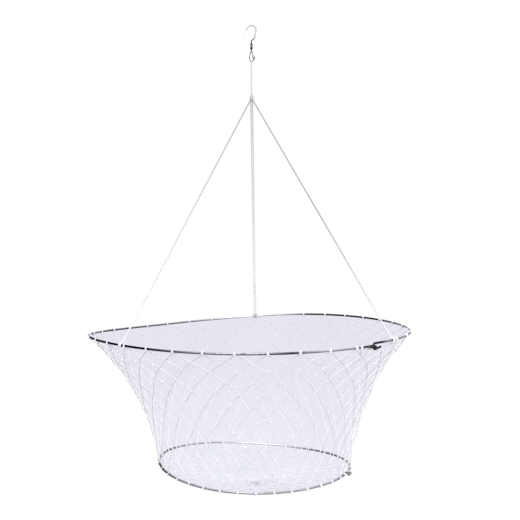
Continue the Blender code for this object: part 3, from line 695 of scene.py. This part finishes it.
dark_plate = metal_material(
    "dark_plated_brass", (0.02, 0.019, 0.02), (0.10, 0.09, 0.08), (0.01, 0.01, 0.01), 350, 0.3,
    0.02 * mm,
)
half = barrel_length / 2
neck_bore, head_bore, lip = 1.4 * mm, 2.2 * mm, 1.2 * mm
outside = [(2.3 * mm, -half), (3.0 * mm, 1.5 * mm - half), (2.85 * mm, 1.8 * mm - half)]
inside = [(neck_bore, half), (neck_bore, half - lip), (head_bore, half - lip)]
barrel_profile = outside + upside_down(outside) + inside + upside_down(inside)
barrel_profile = rounded(barrel_profile, 0.12 * mm)
barrel = turned("turned_barrel", barrel_profile, barrel_middle, closed=True)
set_piece(barrel, dark_plate, "swivel_top", ["swivel_barrel"])

stem_radius, head_radius, head_thickness = 1.1 * mm, 1.9 * mm, 1.0 * mm
head_face = abs(swivel_centre - barrel_middle) - seat_gap / 2
head_back = head_face - head_thickness
edge = 0.2 * mm
stem_profile = [
    (edge, -head_face),
    (head_radius - edge, -head_face),
    (head_radius, edge - head_face),
    (head_radius, -edge - head_back),
    (head_radius - edge, -head_back),
    (stem_radius, -head_back),
    (stem_radius, -swivel_eye_radius - 0.8 * mm),
    (stem_radius * 1.2, -swivel_eye_radius - 0.3 * mm),
    (stem_radius, -swivel_eye_radius + 0.3 * mm),
    (edge, -swivel_eye_radius + 0.5 * mm),
]
eye_turn = np.radians(np.arange(0, 360, 7.5))


def join(name, pieces):
    """Several meshes as one piece."""
    with bpy.context.temp_override(active_object=pieces[0], selected_editable_objects=pieces):
        bpy.ops.object.join()
    pieces[0].name = name
    pieces[0].data.name = name
    return pieces[0]


for name, centre, up, body in (
    ("swivel_top_eye", swivel_centre, 1, "swivel_top"),
    ("swivel_bottom_eye", lower_centre, -1, "swivel_bottom"),
):
    across = swivel_eye_radius * np.cos(eye_turn)
    level = centre + swivel_eye_radius * np.sin(eye_turn)
    flat = np.zeros_like(across)
    eye_line = np.stack([across, flat, level] if up > 0 else [flat, across, level], axis=1)
    eye = strands(name + "_wire", eye_line, swivel_wire / 2, 14, closed=True)
    profile = stem_profile if up > 0 else upside_down(stem_profile)
    stem = turned(name + "_stem", profile, centre, 32)
    set_piece(join(body + "_wire_eye", [eye, stem]), dark_plate, body, [name])

# Snap. One length of plated wire bent to a long drop-shaped link, whose right leg stops half-way
# up. The other end is a springy latch inside it, which turns out to cross in front of that leg.
snap_pivot = lower_centre - swivel_eye_radius
top_bend, flare_bend, elbow_bend, lower_bend = 2.1 * mm, 6 * mm, 3.5 * mm, 3 * mm
upper_flare, lower_flare, leg_flare = 14, 12, 38
upper_run, short_run, short_rise = 9.6 * mm, 6.2 * mm, 6.5 * mm
upper_lean, lower_lean = np.radians(upper_flare), np.radians(lower_flare)
elbow_side = top_bend + flare_bend * (1 - np.cos(upper_lean)) + upper_run * np.sin(upper_lean)
below_elbow = elbow_side - elbow_bend * (np.cos(upper_lean) - np.cos(lower_lean))
lower_run = (below_elbow - lower_bend * np.cos(lower_lean)) / np.sin(lower_lean)
latch_straight = 0.8 * mm
snap_step = 0.35 * mm
link_moves = [
    (top_bend, 90),
    (flare_bend, -upper_flare),
    (upper_run,),
    (elbow_bend, upper_flare + lower_flare),
    (lower_run,),
    (lower_bend, 180 - lower_flare - leg_flare),
    (short_run,),
    (elbow_bend, leg_flare),
    (short_rise,),
]
link = bent((0, top_bend), 180, link_moves)
link_start = bent((top_bend, -latch_straight), 90, [(latch_straight,), (top_bend, 90)])
link_route = in_front(np.concatenate([link_start[:-1], link]), snap_pivot)
link_points, link_share = even_line(link_route, snap_step, snap_wire / 2)
snap_grey = metal_material(
    "grey_plated_wire", (0.035, 0.032, 0.045), (0.08, 0.075, 0.10), (0.02, 0.018, 0.025), 200, 0.34,
    0.03 * mm,
)
snap = strands("snap_link", link_points, snap_wire / 2, 14, link_share)
set_piece(snap, snap_grey, "snap", ["snap_body"])


def spaced(route, least):
    """A route without each point that stands nearer than `least` to the one before it."""
    steps = np.linalg.norm(np.diff(route, axis=0), axis=1)
    return route[np.concatenate([[True], steps > least])]


latch_root = snap_pivot - latch_straight - seat_gap
latch_front = -(snap_wire + seat_gap)
latch_moves = [(latch_straight,), (3 * mm, 20), (3.6 * mm,), (5 * mm, -30), (4.2 * mm,)]
latch_arm = in_front(bent((top_bend, latch_root), -90, latch_moves))
latch_cross = [
    latch_arm[-1],
    (3.7 * mm, latch_front / 2, snap_pivot - 14.4 * mm),
    (6.7 * mm, latch_front, snap_pivot - 15.4 * mm),
    (8.9 * mm, latch_front, snap_pivot - 15.1 * mm),
]
latch_route = spaced(np.concatenate([latch_arm, smooth_line(latch_cross, 12)[0]]), 0.03 * mm)
latch_points, latch_share = even_line(latch_route, snap_step, snap_wire / 2)
latch = strands("sprung_latch", latch_points, snap_wire / 2, 14, latch_share)
set_piece(latch, snap_grey, "latch", ["snap_latch"])


# Hoops. Each is one zinc-plated steel rod, 4.76 mm thick, rolled round and closed by turning its
# two ends into eyes that link. They are a little out of round and out of flat, as sprung rod is.
def end_eye(hoop, first):
    """An end eye, from the rod inwards: a straight, a half turn about the other eye's rod, and a
    return that closes on the straight. The first eye stands upright, the other lies flat."""
    along, outward, upward = hoop_axes(hoop, hoop["joint"])
    eye_radius, eye_length = hoop["eye_radius"], hoop["eye_length"]
    level = eye_radius / 2 if first else -eye_radius / 2
    base = hoop_line(hoop, hoop["joint"]) + level * (outward + upward)
    backward = along if first else -along
    swing = -upward if first else outward
    start = eye_radius - rod_radius - seat_gap / 2
    closing = (2 * eye_radius - 2 * rod_radius - 0.5 * mm) / (2 * eye_length)
    moves = [
        (eye_length,),
        (eye_radius, 180),
        (eye_radius, np.degrees(np.arcsin(closing))),
        (eye_length - rod_radius,),
    ]
    flat = bent((start + eye_length, 0), 180, moves)
    return base + flat[:, :1] * backward - flat[:, 1:] * swing


def rod_finish(name, hoop, painted_reflections):
    """Dull zinc on a rod, with painted reflections: it is brighter or blacker along the hoop as the
    photographed rod looks, by stretches given as an angle and a lightness. A painted highlight
    makes it brighter again along the rod's top."""
    made = metal_material(
        name, (0.92, 0.91, 0.94), (1.0, 1.0, 1.0), (0.7, 0.69, 0.72), 40, 0.36, 0.05 * mm
    )
    tree = made.node_tree
    tree.nodes["Principled BSDF"].inputs["Specular Tint"].default_value = (0.3, 0.3, 0.32, 1)
    x, y, _ = parts_of(tree, "Object")
    turn = math_node(tree, "ARCTAN2", y, math_node(tree, "SUBTRACT", x, hoop["side"]))
    share = math_node(tree, "MULTIPLY_ADD", turn, 1 / full_turn, 0.5)
    stops = sorted(((angle + 180) % 360 / 360, tone) for angle, tone in painted_reflections)
    ends = (stops[0][1] + stops[-1][1]) / 2
    tone = tone_ramp(tree, share, [(0.0, ends), *stops, (1.0, ends)], 1.06)
    # Painted highlight: where the rod faces up, its tone is lifted, up to a limit.
    upper = map_range(tree, parts_of(tree, "Normal")[2], 0.05, 0.7)
    painted_highlight = add_node(tree, "VectorMath", {0: tone, "Scale": 2.1}, operation="SCALE").outputs[0]
    limited = {0: painted_highlight, 1: (0.72, 0.72, 0.74)}
    painted_highlight = add_node(tree, "VectorMath", limited, operation="MINIMUM").outputs[0]
    shade_by(made, mix_colour(tree, upper, tone, painted_highlight))
    return made


# Painted reflections along each rod, as an angle round the hoop and a lightness.
top_painted_reflections = [
    (2, 0.4), (14, 0.14), (30, 0.015), (48, 0.005), (64, 0.03), (74, 0.4), (88, 0.55),
    (104, 0.25), (120, 0.17), (145, 0.12), (158, 0.10), (172, 0.3), (188, 0.3), (195, 0.02),
    (205, 0.003), (236, 0.003), (244, 0.06), (256, 0.18), (272, 0.13), (284, 0.02), (296, 0.36),
    (306, 0.28), (311, 0.03), (317.5, 0.03), (320, 0.26), (342, 0.4), (352, 0.8),
]
low_painted_reflections = [
    (10, 0.26), (30, 0.10), (52, 0.16), (62, 0.4), (76, 0.62), (96, 0.62), (112, 0.5),
    (144, 0.42), (158, 0.06), (170, 0.18), (182, 0.2), (192, 0.06), (210, 0.07), (222, 0.2),
    (245, 0.25), (262, 0.22), (280, 0.16), (300, 0.34), (320, 0.32), (340, 0.2), (354, 0.45),
]
rod_step = 2.2 * mm
rod_edge = 0.9 * mm
for end, hoop, painted_reflections in (
    ("top", top_hoop, top_painted_reflections),
    ("bottom", bottom_hoop, low_painted_reflections),
):
    lead = np.degrees((hoop["eye_length"] + hoop["eye_radius"]) / hoop["radius"])
    angles = hoop["joint"] + np.arange(lead, 360 - lead, 1.0)
    eyes = end_eye(hoop, True)[::-1], end_eye(hoop, False)
    rod_route = np.concatenate([eyes[0], rod_line(hoop, angles), eyes[1]])
    rod_points, rod_share = even_line(spaced(rod_route, 0.05 * mm), rod_step, rod_edge)
    rod = strands(end + "_ring_rod", rod_points, rod_radius, 18, rod_share)
    zinc = rod_finish(end + "_rod_zinc", hoop, painted_reflections)
    set_piece(rod, zinc, end + "_ring_body", [end + "_ring"])

# Netting. White nylon twine of two plies, knotted by hand or machine into diamond meshes with bars
# of 42 mm. Thirty-six meshes go round, and each knot hangs where its four bars balance.
columns = 36
pitch = 360 / columns
first_hitch = 6.5
hitch_width = 5 * mm
twine = 1.8 * mm
twine_lay = 125
twine_grain = 0.05 * mm
bar_trim = twine
side_scatter, bottom_scatter, bar_bow = 0.9 * mm, 0.8 * mm, 0.55 * mm
side_rows = 11
bottom_rows = 5
rng = np.random.default_rng(36)


def knot_angles(offset):
    """The angle of each mesh round the hoops, offset by a share of a mesh."""
    return first_hitch + (np.arange(columns) + offset) * pitch


def hitch_angles(hoop, offset):
    """Where the hitches sit. One beside the linked eyes is pushed back along the rod."""
    angles = knot_angles(offset)
    taken = hoop["eye_length"] + hoop["eye_radius"] + hitch_width
    reach = np.degrees(taken / hoop["radius"])
    beside = (angles - hoop["joint"] + 180) % 360 - 180
    return np.where(np.abs(beside) < reach, hoop["joint"] - reach, angles)


def settled_rows(rows, top, low, height):
    """Radius and depth share of each row of knots. All bars are of one length, and a bar pulls in
    and out in proportion to one over its drop, so each radius tends to the mean of its neighbours'
    weighted by that, times the cosine of half a mesh's angle. The bar's length is changed until
    the drops add up to the height."""
    narrow = np.cos(np.pi / columns)
    radii = np.linspace(top, low, rows + 1)
    bar = height / rows * 1.2
    for _ in range(900):
        upper, lower = radii[:-1], radii[1:]
        chord = np.sqrt(upper**2 + lower**2 - 2 * upper * lower * narrow)
        bar = max(bar, 1.001 * chord.max())
        drop = np.sqrt(bar**2 - chord**2)
        pull = 1 / drop
        mean = (pull[:-1] * radii[:-2] + pull[1:] * radii[2:]) / (pull[:-1] + pull[1:])
        radii[1:-1] = 0.5 * radii[1:-1] + 0.5 * narrow * mean
        bar *= 1 + (height / drop.sum() - 1) / 4
    return radii, np.concatenate([[0], np.cumsum(drop)]) / drop.sum()


net_drop = top_hoop["height"] - bottom_hoop["height"]
hoop_radii = top_hoop["radius"], bottom_hoop["radius"]
row_radii, row_depths = settled_rows(side_rows, *hoop_radii, net_drop)
row_share = (row_radii - row_radii[-1]) / (row_radii[0] - row_radii[-1])
hang = rod_radius + twine / 2
side_knots = np.empty((side_rows + 1, columns, 3))
for row in range(side_rows + 1):
    offset = 0.5 * (row % 2)
    top_at = hitch_angles(top_hoop, offset) if row == 0 else knot_angles(offset)
    low_at = hitch_angles(bottom_hoop, offset) if row == side_rows else knot_angles(offset)
    high = rod_line(top_hoop, top_at) - hang * hoop_axes(top_hoop, top_at)[2]
    low = rod_line(bottom_hoop, low_at) + hang * hoop_axes(bottom_hoop, low_at)[2]
    spot = low + row_share[row] * (high - low)
    spot[:, 2] = high[:, 2] + row_depths[row] * (low[:, 2] - high[:, 2])
    side_knots[row] = spot
side_knots[1:-1] += rng.normal(0, side_scatter, side_knots[1:-1].shape)

gather_radius = 46 * mm
gather_middle = np.array([bottom_hoop["side"], 0, bottom_hoop["height"] - 30 * mm])
low_offset = 0.5 * (side_rows % 2)
bottom_knots = np.empty((bottom_rows + 1, columns, 3))
for row in range(bottom_rows + 1):
    offset = low_offset + 0.5 * (row % 2)
    at = hitch_angles(bottom_hoop, offset) if row == 0 else knot_angles(offset)
    _, outward, upward = hoop_axes(bottom_hoop, at)
    edge_line = rod_line(bottom_hoop, at) - hang * unit(outward + upward)
    middle = gather_middle + round_z(gather_radius, np.radians(knot_angles(offset)), 0 * at)
    share = row / bottom_rows
    spot = edge_line + share * (middle - edge_line)
    fallen = 1 - (1 - share) ** 2
    spot[:, 2] = edge_line[:, 2] + fallen * (middle[:, 2] - edge_line[:, 2])
    bottom_knots[row] = spot
bottom_knots[1:-1] += rng.normal(0, bottom_scatter, bottom_knots[1:-1].shape)


def tied_to(knots, row, step):
    """The two knots that each knot of a row is tied to, left and right, in the row a step on."""
    left = np.roll(knots[row + step], (row + 1) % 2, axis=0)
    return left, np.roll(left, -1, axis=0)


def ply_relief(w, s):
    """Two plies: 1 + 0.12 cos 2w, on a section that turns with the lay."""
    return 1 + 0.12 * np.cos(2 * w) + 0 * s


def bars(name, knots, rows):
    """The bars below some rows of knots. A bar from p to q runs from p + trim to q - trim along
    itself and bows aside by b sin(pi t) at t along it, with b drawn anew for each."""
    lines = []
    t = np.linspace(0, 1, 30)[None, :, None]
    for row in rows:
        for side in tied_to(knots, row, 1):
            trim = bar_trim * unit(side - knots[row])
            head, foot = knots[row] + trim, side - trim
            bow = rng.normal(0, bar_bow, (columns, 1, 3))
            lines.append(head[:, None] * (1 - t) + foot[:, None] * t + bow * np.sin(np.pi * t))
    return strands(name, np.concatenate(lines), twine / 2, 8, relief=ply_relief, lay=twine_lay)


# One white nylon twine in four copies. The bottom netting's copy is darker all over: painted shade.
net_white, side_white, gathered_white, bottom_shaded_white = (
    yarn_material(name + "_twine", light, dark, twine_grain, 2, 0, 0.0)
    for name, light, dark in (
        ("net", (0.94, 0.94, 1.0), (0.80, 0.80, 0.91)),
        ("side", (0.97, 0.97, 1.0), (0.90, 0.90, 0.97)),
        ("gathered", (0.98, 0.98, 1.0), (0.92, 0.92, 0.98)),
        ("bottom", (0.85, 0.85, 0.91), (0.75, 0.75, 0.84)),
    )
)
# Painted shade on the side netting: darker towards the top hoop, and a little darker towards the
# rear.
side_painted_shade = [(0.0, 0.80), (0.4, 0.85), (0.65, 0.92), (1.0, 1.0)]
shade_across(side_white, 1, -0.1, 0.25, [(0.0, 1.0), (1.0, 0.95)])
shade_across(side_white, 2, -0.75, -0.98, side_painted_shade)
# Painted light and shade on the drawn-in meshes and their tie: darker over the bunch and its tie,
# full white down the tuft below them.
shade_across(gathered_white, 2, -1.1, -1.0945, [(0.0, 1.0), (1.0, 0.83)], 1.05)
for name, rows in (
    ("side_netting_upper", range(0, 4)),
    ("side_netting_middle", range(4, 8)),
    ("side_netting_lower", range(8, side_rows)),
):
    piece = bars(name, side_knots, rows)
    set_piece(piece, side_white, None, ["side_netting"])
    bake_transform(piece)
floor_bars = bars("bottom_netting_bars", bottom_knots, range(bottom_rows))
set_piece(floor_bars, bottom_shaded_white, "bottom_ring_body", ["bottom_netting"])

# Corners of a knot's two twines, as shares of its size to the right, along the net and outwards
knot_size = 0.72 * twine
knot_tail = 2.6
bight_corners = [
    (-0.95, -0.9, 0.45), (-0.7, 0.5, 0.5), (0, 1.15, 0.3), (0.7, 0.5, 0.5), (0.95, -0.9, 0.45),
]
wrap_corners = [
    (-0.5, 1.1, -0.5), (0.1, 0.3, 0.7), (1.2, -0.5, 1.1), (1.75, -0.7, 0.1), (0.0, -0.8, -0.75),
    (-1.75, -0.55, 0.1), (-1.0, 0.1, 1.25), (0.3, 0.9, 1.15), (1.0, 1.4, 0.5),
]


def knot_lines(knots, rows):
    """Sheet bends. The upper meshes' twine makes a bight (a U), and the lower twine comes up from
    behind it, over its right leg, round behind both legs, and across in front to leave at the
    right. A line starts and ends on two bars, and each corner between is
    knot + size (across x + down y + out z) on the knot's own axes."""
    bights, wraps = [], []
    for row in rows:
        here = knots[row]
        uppers, lowers = ([unit(knot - here) for knot in tied_to(knots, row, k)] for k in (-1, 1))
        y = unit(sum(lowers) - sum(uppers))
        x = unit(np.roll(here, -1, axis=0) - np.roll(here, 1, axis=0))
        axes = np.stack([x, y, np.cross(y, x)], axis=1)
        for lines, (first, last), corners in (
            (bights, uppers, bight_corners),
            (wraps, lowers, wrap_corners),
        ):
            ends = knot_tail * first[:, None], knot_tail * last[:, None]
            steps = np.concatenate([ends[0], np.asarray(corners) @ axes, ends[1]], axis=1)
            lines.append(here[:, None] + knot_size * steps)
    return [smooth_line(np.concatenate(lines), 2) for lines in (bights, wraps)]


def joined_strands(name, routes, *form, **more):
    """Strands along routes of different lengths, as one piece."""
    return join(name, [strands(name, route, *form, **more) for route in routes])


knot_twine = 0.42 * twine
side_lines = knot_lines(side_knots, range(1, side_rows))
side_lumps = joined_strands("side_knots", side_lines, knot_twine, 5)
set_piece(side_lumps, side_white)
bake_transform(side_lumps)
bottom_lines = knot_lines(bottom_knots, range(1, bottom_rows))
bottom_lumps = joined_strands("bottom_knots", bottom_lines, knot_twine, 5)
set_piece(bottom_lumps, bottom_shaded_white, "bottom_ring_body")

# Net hitches. At each mesh the twine takes two turns round the rod and crosses over itself, which
# lashes the netting to the hoop.
hitch_twine = 0.46 * twine
hitch_seat = rod_radius + hitch_twine
wrap_turns, wrap_spread, over_spread = 2.25, 2.3 * twine, 2.6 * twine
for name, hoop, offset, body in (
    ("top_hitches", top_hoop, 0.0, "top_ring_body"),
    ("bottom_hitches", bottom_hoop, low_offset, "bottom_ring_body"),
):
    at = hitch_angles(hoop, offset)
    t = np.linspace(0, 1, 44)
    turn = np.radians(-90 + 360 * wrap_turns * t)
    wraps = around_rod(hoop, at, wrap_spread * (t - 0.5), turn, hitch_seat)
    t = np.linspace(0, 1, 24)
    rise = hitch_seat + 0.75 * twine * np.sin(np.pi * t) ** 0.6
    over = around_rod(hoop, at, over_spread * (0.5 - t), np.radians(110 - 230 * t), rise)
    lashing = joined_strands(name, (wraps, over), hitch_twine, 6)
    set_piece(lashing, net_white, body)

# Gathered bottom. The last meshes are drawn together under the middle of the small hoop, and a
# cord tied round them closes the net. Their ends stand out below it in a short tuft.
neck_radius = 7.2 * mm
neck_drop = 13 * mm
tail_drop = 24 * mm
tail_scatter = 2.5 * mm
strand_count = 2 * columns
layer = np.where(np.arange(strand_count) % 2 == 0, 1.0, 0.62)
last = np.repeat(bottom_knots[-1], 2, axis=0)
draw = np.linspace(0, 1, 16)[None, :]
jitter = rng.normal(0, 1, (strand_count, 3))
neck_reach = neck_radius * layer
start_reach = np.linalg.norm((last - gather_middle)[:, :2], axis=1)
reach = neck_reach[:, None] + (start_reach - neck_reach)[:, None] * (1 - draw) ** 1.7
last_turn = np.arctan2(last[:, 1] - gather_middle[1], last[:, 0] - gather_middle[0])
turn = last_turn[:, None] + 0.09 * jitter[:, :1] * np.sin(np.pi * draw) + 0.25 * draw
drop = -neck_drop * draw**0.8 + (last[:, 2] - gather_middle[2])[:, None] * (1 - draw)
down = np.linspace(0, 1, 9)[None, 1:]
tail_reach = neck_reach[:, None] * (1 + (0.75 + 0.2 * jitter[:, 1:2]) * down**1.5)
tail_turn = turn[:, -1:] + 0.3 * jitter[:, 2:] * down
tail_end = tail_drop - neck_drop - tail_scatter * np.abs(jitter[:, 1:2])
tail_fall = -neck_drop - tail_end * down
reach = np.concatenate([reach, tail_reach], axis=1)
turn = np.concatenate([turn, tail_turn], axis=1)
fall = np.concatenate([drop, tail_fall], axis=1)
gathered = gather_middle + round_z(reach, turn, fall)
bunch = strands(
    "drawn_in_meshes", smooth_line(gathered, 3), twine / 2, 8, relief=ply_relief, lay=twine_lay
)
set_piece(bunch, gathered_white, "bottom_ring_body", ["gathered_meshes"])

tie = 1.5 * mm
tie_turns = 3
tie_reach = neck_radius + tie / 2 + 0.35 * mm
tie_height = 3.2 * mm
t = np.linspace(0, 1, 150)
tie_fall = tie_height * (0.5 - t) - neck_drop
tie_line = gather_middle + round_z(tie_reach, full_turn * tie_turns * t, tie_fall)
knot_turn = np.radians(np.array([-14, -4, 7, 12, 2, -10, -6, 9, 20]))
knot_reach = tie_reach + np.array([0.4, 1.5, 1.1, 2.3, 3.0, 2.1, 1.0, 1.9, 1.2]) * mm
knot_fall = np.array([0.5, 1.6, 0.6, -1.4, 0.0, 1.2, -1.2, -1.8, -4.6]) * mm - neck_drop
knot_line = smooth_line(gather_middle + round_z(knot_reach, knot_turn, knot_fall), 8)
tied = joined_strands(
    "tied_cord", (tie_line, knot_line), tie / 2, 8, relief=ply_relief, lay=twine_lay
)
set_piece(tied, gathered_white, "bottom_ring_body", ["gather_cord"])

# Studio. The net hangs over a pale floor, before white. Well behind it stands a lilac card cut to
# the net's own outline, as the photographed meshes show lilac between them and white round them.
card_depth = 3.6
eye_point = np.array(camera_place)


def on_card(points):
    """Where the camera's line through each point p meets the card at depth d, from the camera's
    place c: c + (p - c) (d - cy) / (py - cy)."""
    ray = points - eye_point
    return eye_point + ray * ((card_depth - eye_point[1]) / ray[..., 1:2])


far_arc = on_card(rod_line(top_hoop, np.arange(-40, 221)))
far_arc = far_arc[far_arc[:, 0].argmax() : far_arc[:, 0].argmin() + 1]
near_arc = on_card(rod_line(bottom_hoop, np.arange(140, 401)))
near_arc = near_arc[near_arc[:, 0].argmin() : near_arc[:, 0].argmax() + 1]
rows_on_card = on_card(side_knots[1:-1])
row_index = np.arange(side_rows - 1)
left_side = rows_on_card[row_index, rows_on_card[..., 0].argmin(axis=1)]
right_side = rows_on_card[row_index, rows_on_card[..., 0].argmax(axis=1)]
outline = np.concatenate([far_arc, left_side, near_arc, right_side[::-1]])
card_middle = outline.mean(axis=0)
soft_edge = 0.985
card_reach = np.array([0.03, soft_edge, 1.0])
card_points = card_middle + card_reach[:, None, None] * (outline - card_middle)
edge_count = len(outline)
at = np.arange(3 * edge_count).reshape(3, edge_count)
card_faces = np.stack([at[:-1], at[1:], np.roll(at[1:], -1, 1), np.roll(at[:-1], -1, 1)], axis=-1)
face_reach = np.stack([card_reach[:-1], card_reach[1:], card_reach[1:], card_reach[:-1]], axis=-1)
face_reach = np.repeat(face_reach[:, None], edge_count, 1)
face_uv = np.stack([face_reach, 0 * face_reach], axis=-1)
card = make_piece(
    "lilac_card",
    card_points.reshape(-1, 3),
    card_faces.reshape(-1, 4),
    at[:1],
    face_uv.reshape(-1, 4, 2),
    np.zeros((1, edge_count, 2)),
)


def mixed_surface(tree, share, first, second):
    """Shows a mix of two shaders: first at 0, second at 1."""
    inputs = {0: share, 1: first.outputs[0], 2: second.outputs[0]}
    mix = add_node(tree, "MixShader", inputs)
    tree.links.new(mix.outputs[0], tree.nodes["Material Output"].inputs[0])


card_material = bpy.data.materials.new("studio_card")
card_material.use_nodes = True
tree = card_material.node_tree
pale_start, pale_end = -1.35, -1.95
studio_cloud = 3
low_on_card = map_range(tree, parts_of(tree, "Object")[2], pale_start, pale_end)
cloud = noise(tree, studio_cloud)
pale = math_node(tree, "MULTIPLY_ADD", low_on_card, 0.8, cloud)
pale = math_node(tree, "MULTIPLY", pale, 0.65)
tint = mix_colour(tree, pale, (0.755, 0.755, 0.85, 1.0), (0.86, 0.86, 0.935, 1.0))
inside_edge = map_range(tree, parts_of(tree, "UV")[0], 1.0, soft_edge)
camera_ray = add_node(tree, "LightPath").outputs["Is Camera Ray"]
behind = add_node(tree, "NewGeometry").outputs["Backfacing"]
shown = math_node(tree, "MULTIPLY", camera_ray, math_node(tree, "SUBTRACT", 1.0, behind))
shown = math_node(tree, "MULTIPLY", shown, inside_edge)
clear = add_node(tree, "BsdfTransparent")
mixed_surface(tree, shown, clear, add_node(tree, "Emission", {"Color": tint}))
card.data.materials.append(card_material)

floor_height = -2.25
floor_reach = 6.0
fade_start, fade_end = 1.5, 3.3
bpy.ops.mesh.primitive_plane_add(size=2 * floor_reach, location=(0, 0, floor_height))
floor = bpy.context.object
floor.name = "floor"
floor_material = bpy.data.materials.new("studio_floor")
floor_material.use_nodes = True
tree = floor_material.node_tree
shader = tree.nodes["Principled BSDF"]
cloud = noise(tree, studio_cloud)
paper = mix_colour(tree, cloud, (0.84, 0.84, 0.85, 1.0), (0.88, 0.88, 0.885, 1.0))
tree.links.new(paper, shader.inputs["Base Color"])
shader.inputs["Roughness"].default_value = 0.9
place = add_node(tree, "TexCoord").outputs["Object"]
from_middle = add_node(tree, "VectorMath", {0: place}, operation="LENGTH").outputs["Value"]
fade = {"Value": from_middle, "From Min": fade_start, "From Max": fade_end, "To Min": 0.25}
faded = add_node(tree, "MapRange", fade, interpolation_type="SMOOTHSTEP").outputs[0]
camera_ray = add_node(tree, "LightPath").outputs["Is Camera Ray"]
seen = math_node(tree, "MULTIPLY", camera_ray, faded)
mixed_surface(tree, seen, shader, add_node(tree, "Emission", {"Strength": 1.0}))
floor.data.materials.append(floor_material)

world = bpy.data.worlds.new("studio")
bpy.context.scene.world = world
world.use_nodes = True
tree = world.node_tree
sky = tree.nodes["Background"]
sky.inputs["Color"].default_value = (1, 1, 1, 1)
rays = add_node(tree, "LightPath").outputs
plain = math_node(tree, "MAXIMUM", rays["Is Camera Ray"], rays["Is Glossy Ray"])
ambient = 0.48
strength = math_node(tree, "MULTIPLY_ADD", plain, 1 - ambient, ambient)
tree.links.new(strength, sky.inputs["Strength"])
lit_place = np.array([0.0, 0.0, -0.8])
for name, place_of_lamp, size, power in (
    ("key", (-0.2, -1.7, 1.9), 1.2, 82),
    ("fill", (0.7, -2.7, -0.3), 1.6, 30),
):
    lamp_data = bpy.data.lights.new(name, "AREA")
    lamp_data.size = size
    lamp_data.energy = power
    lamp = bpy.data.objects.new(name, lamp_data)
    lamp.location = place_of_lamp
    aim = unit(lit_place - place_of_lamp)
    lamp.rotation_euler = (np.arccos(-aim[2]), 0, np.arctan2(-aim[0], aim[1]))
    bpy.context.scene.collection.objects.link(lamp)
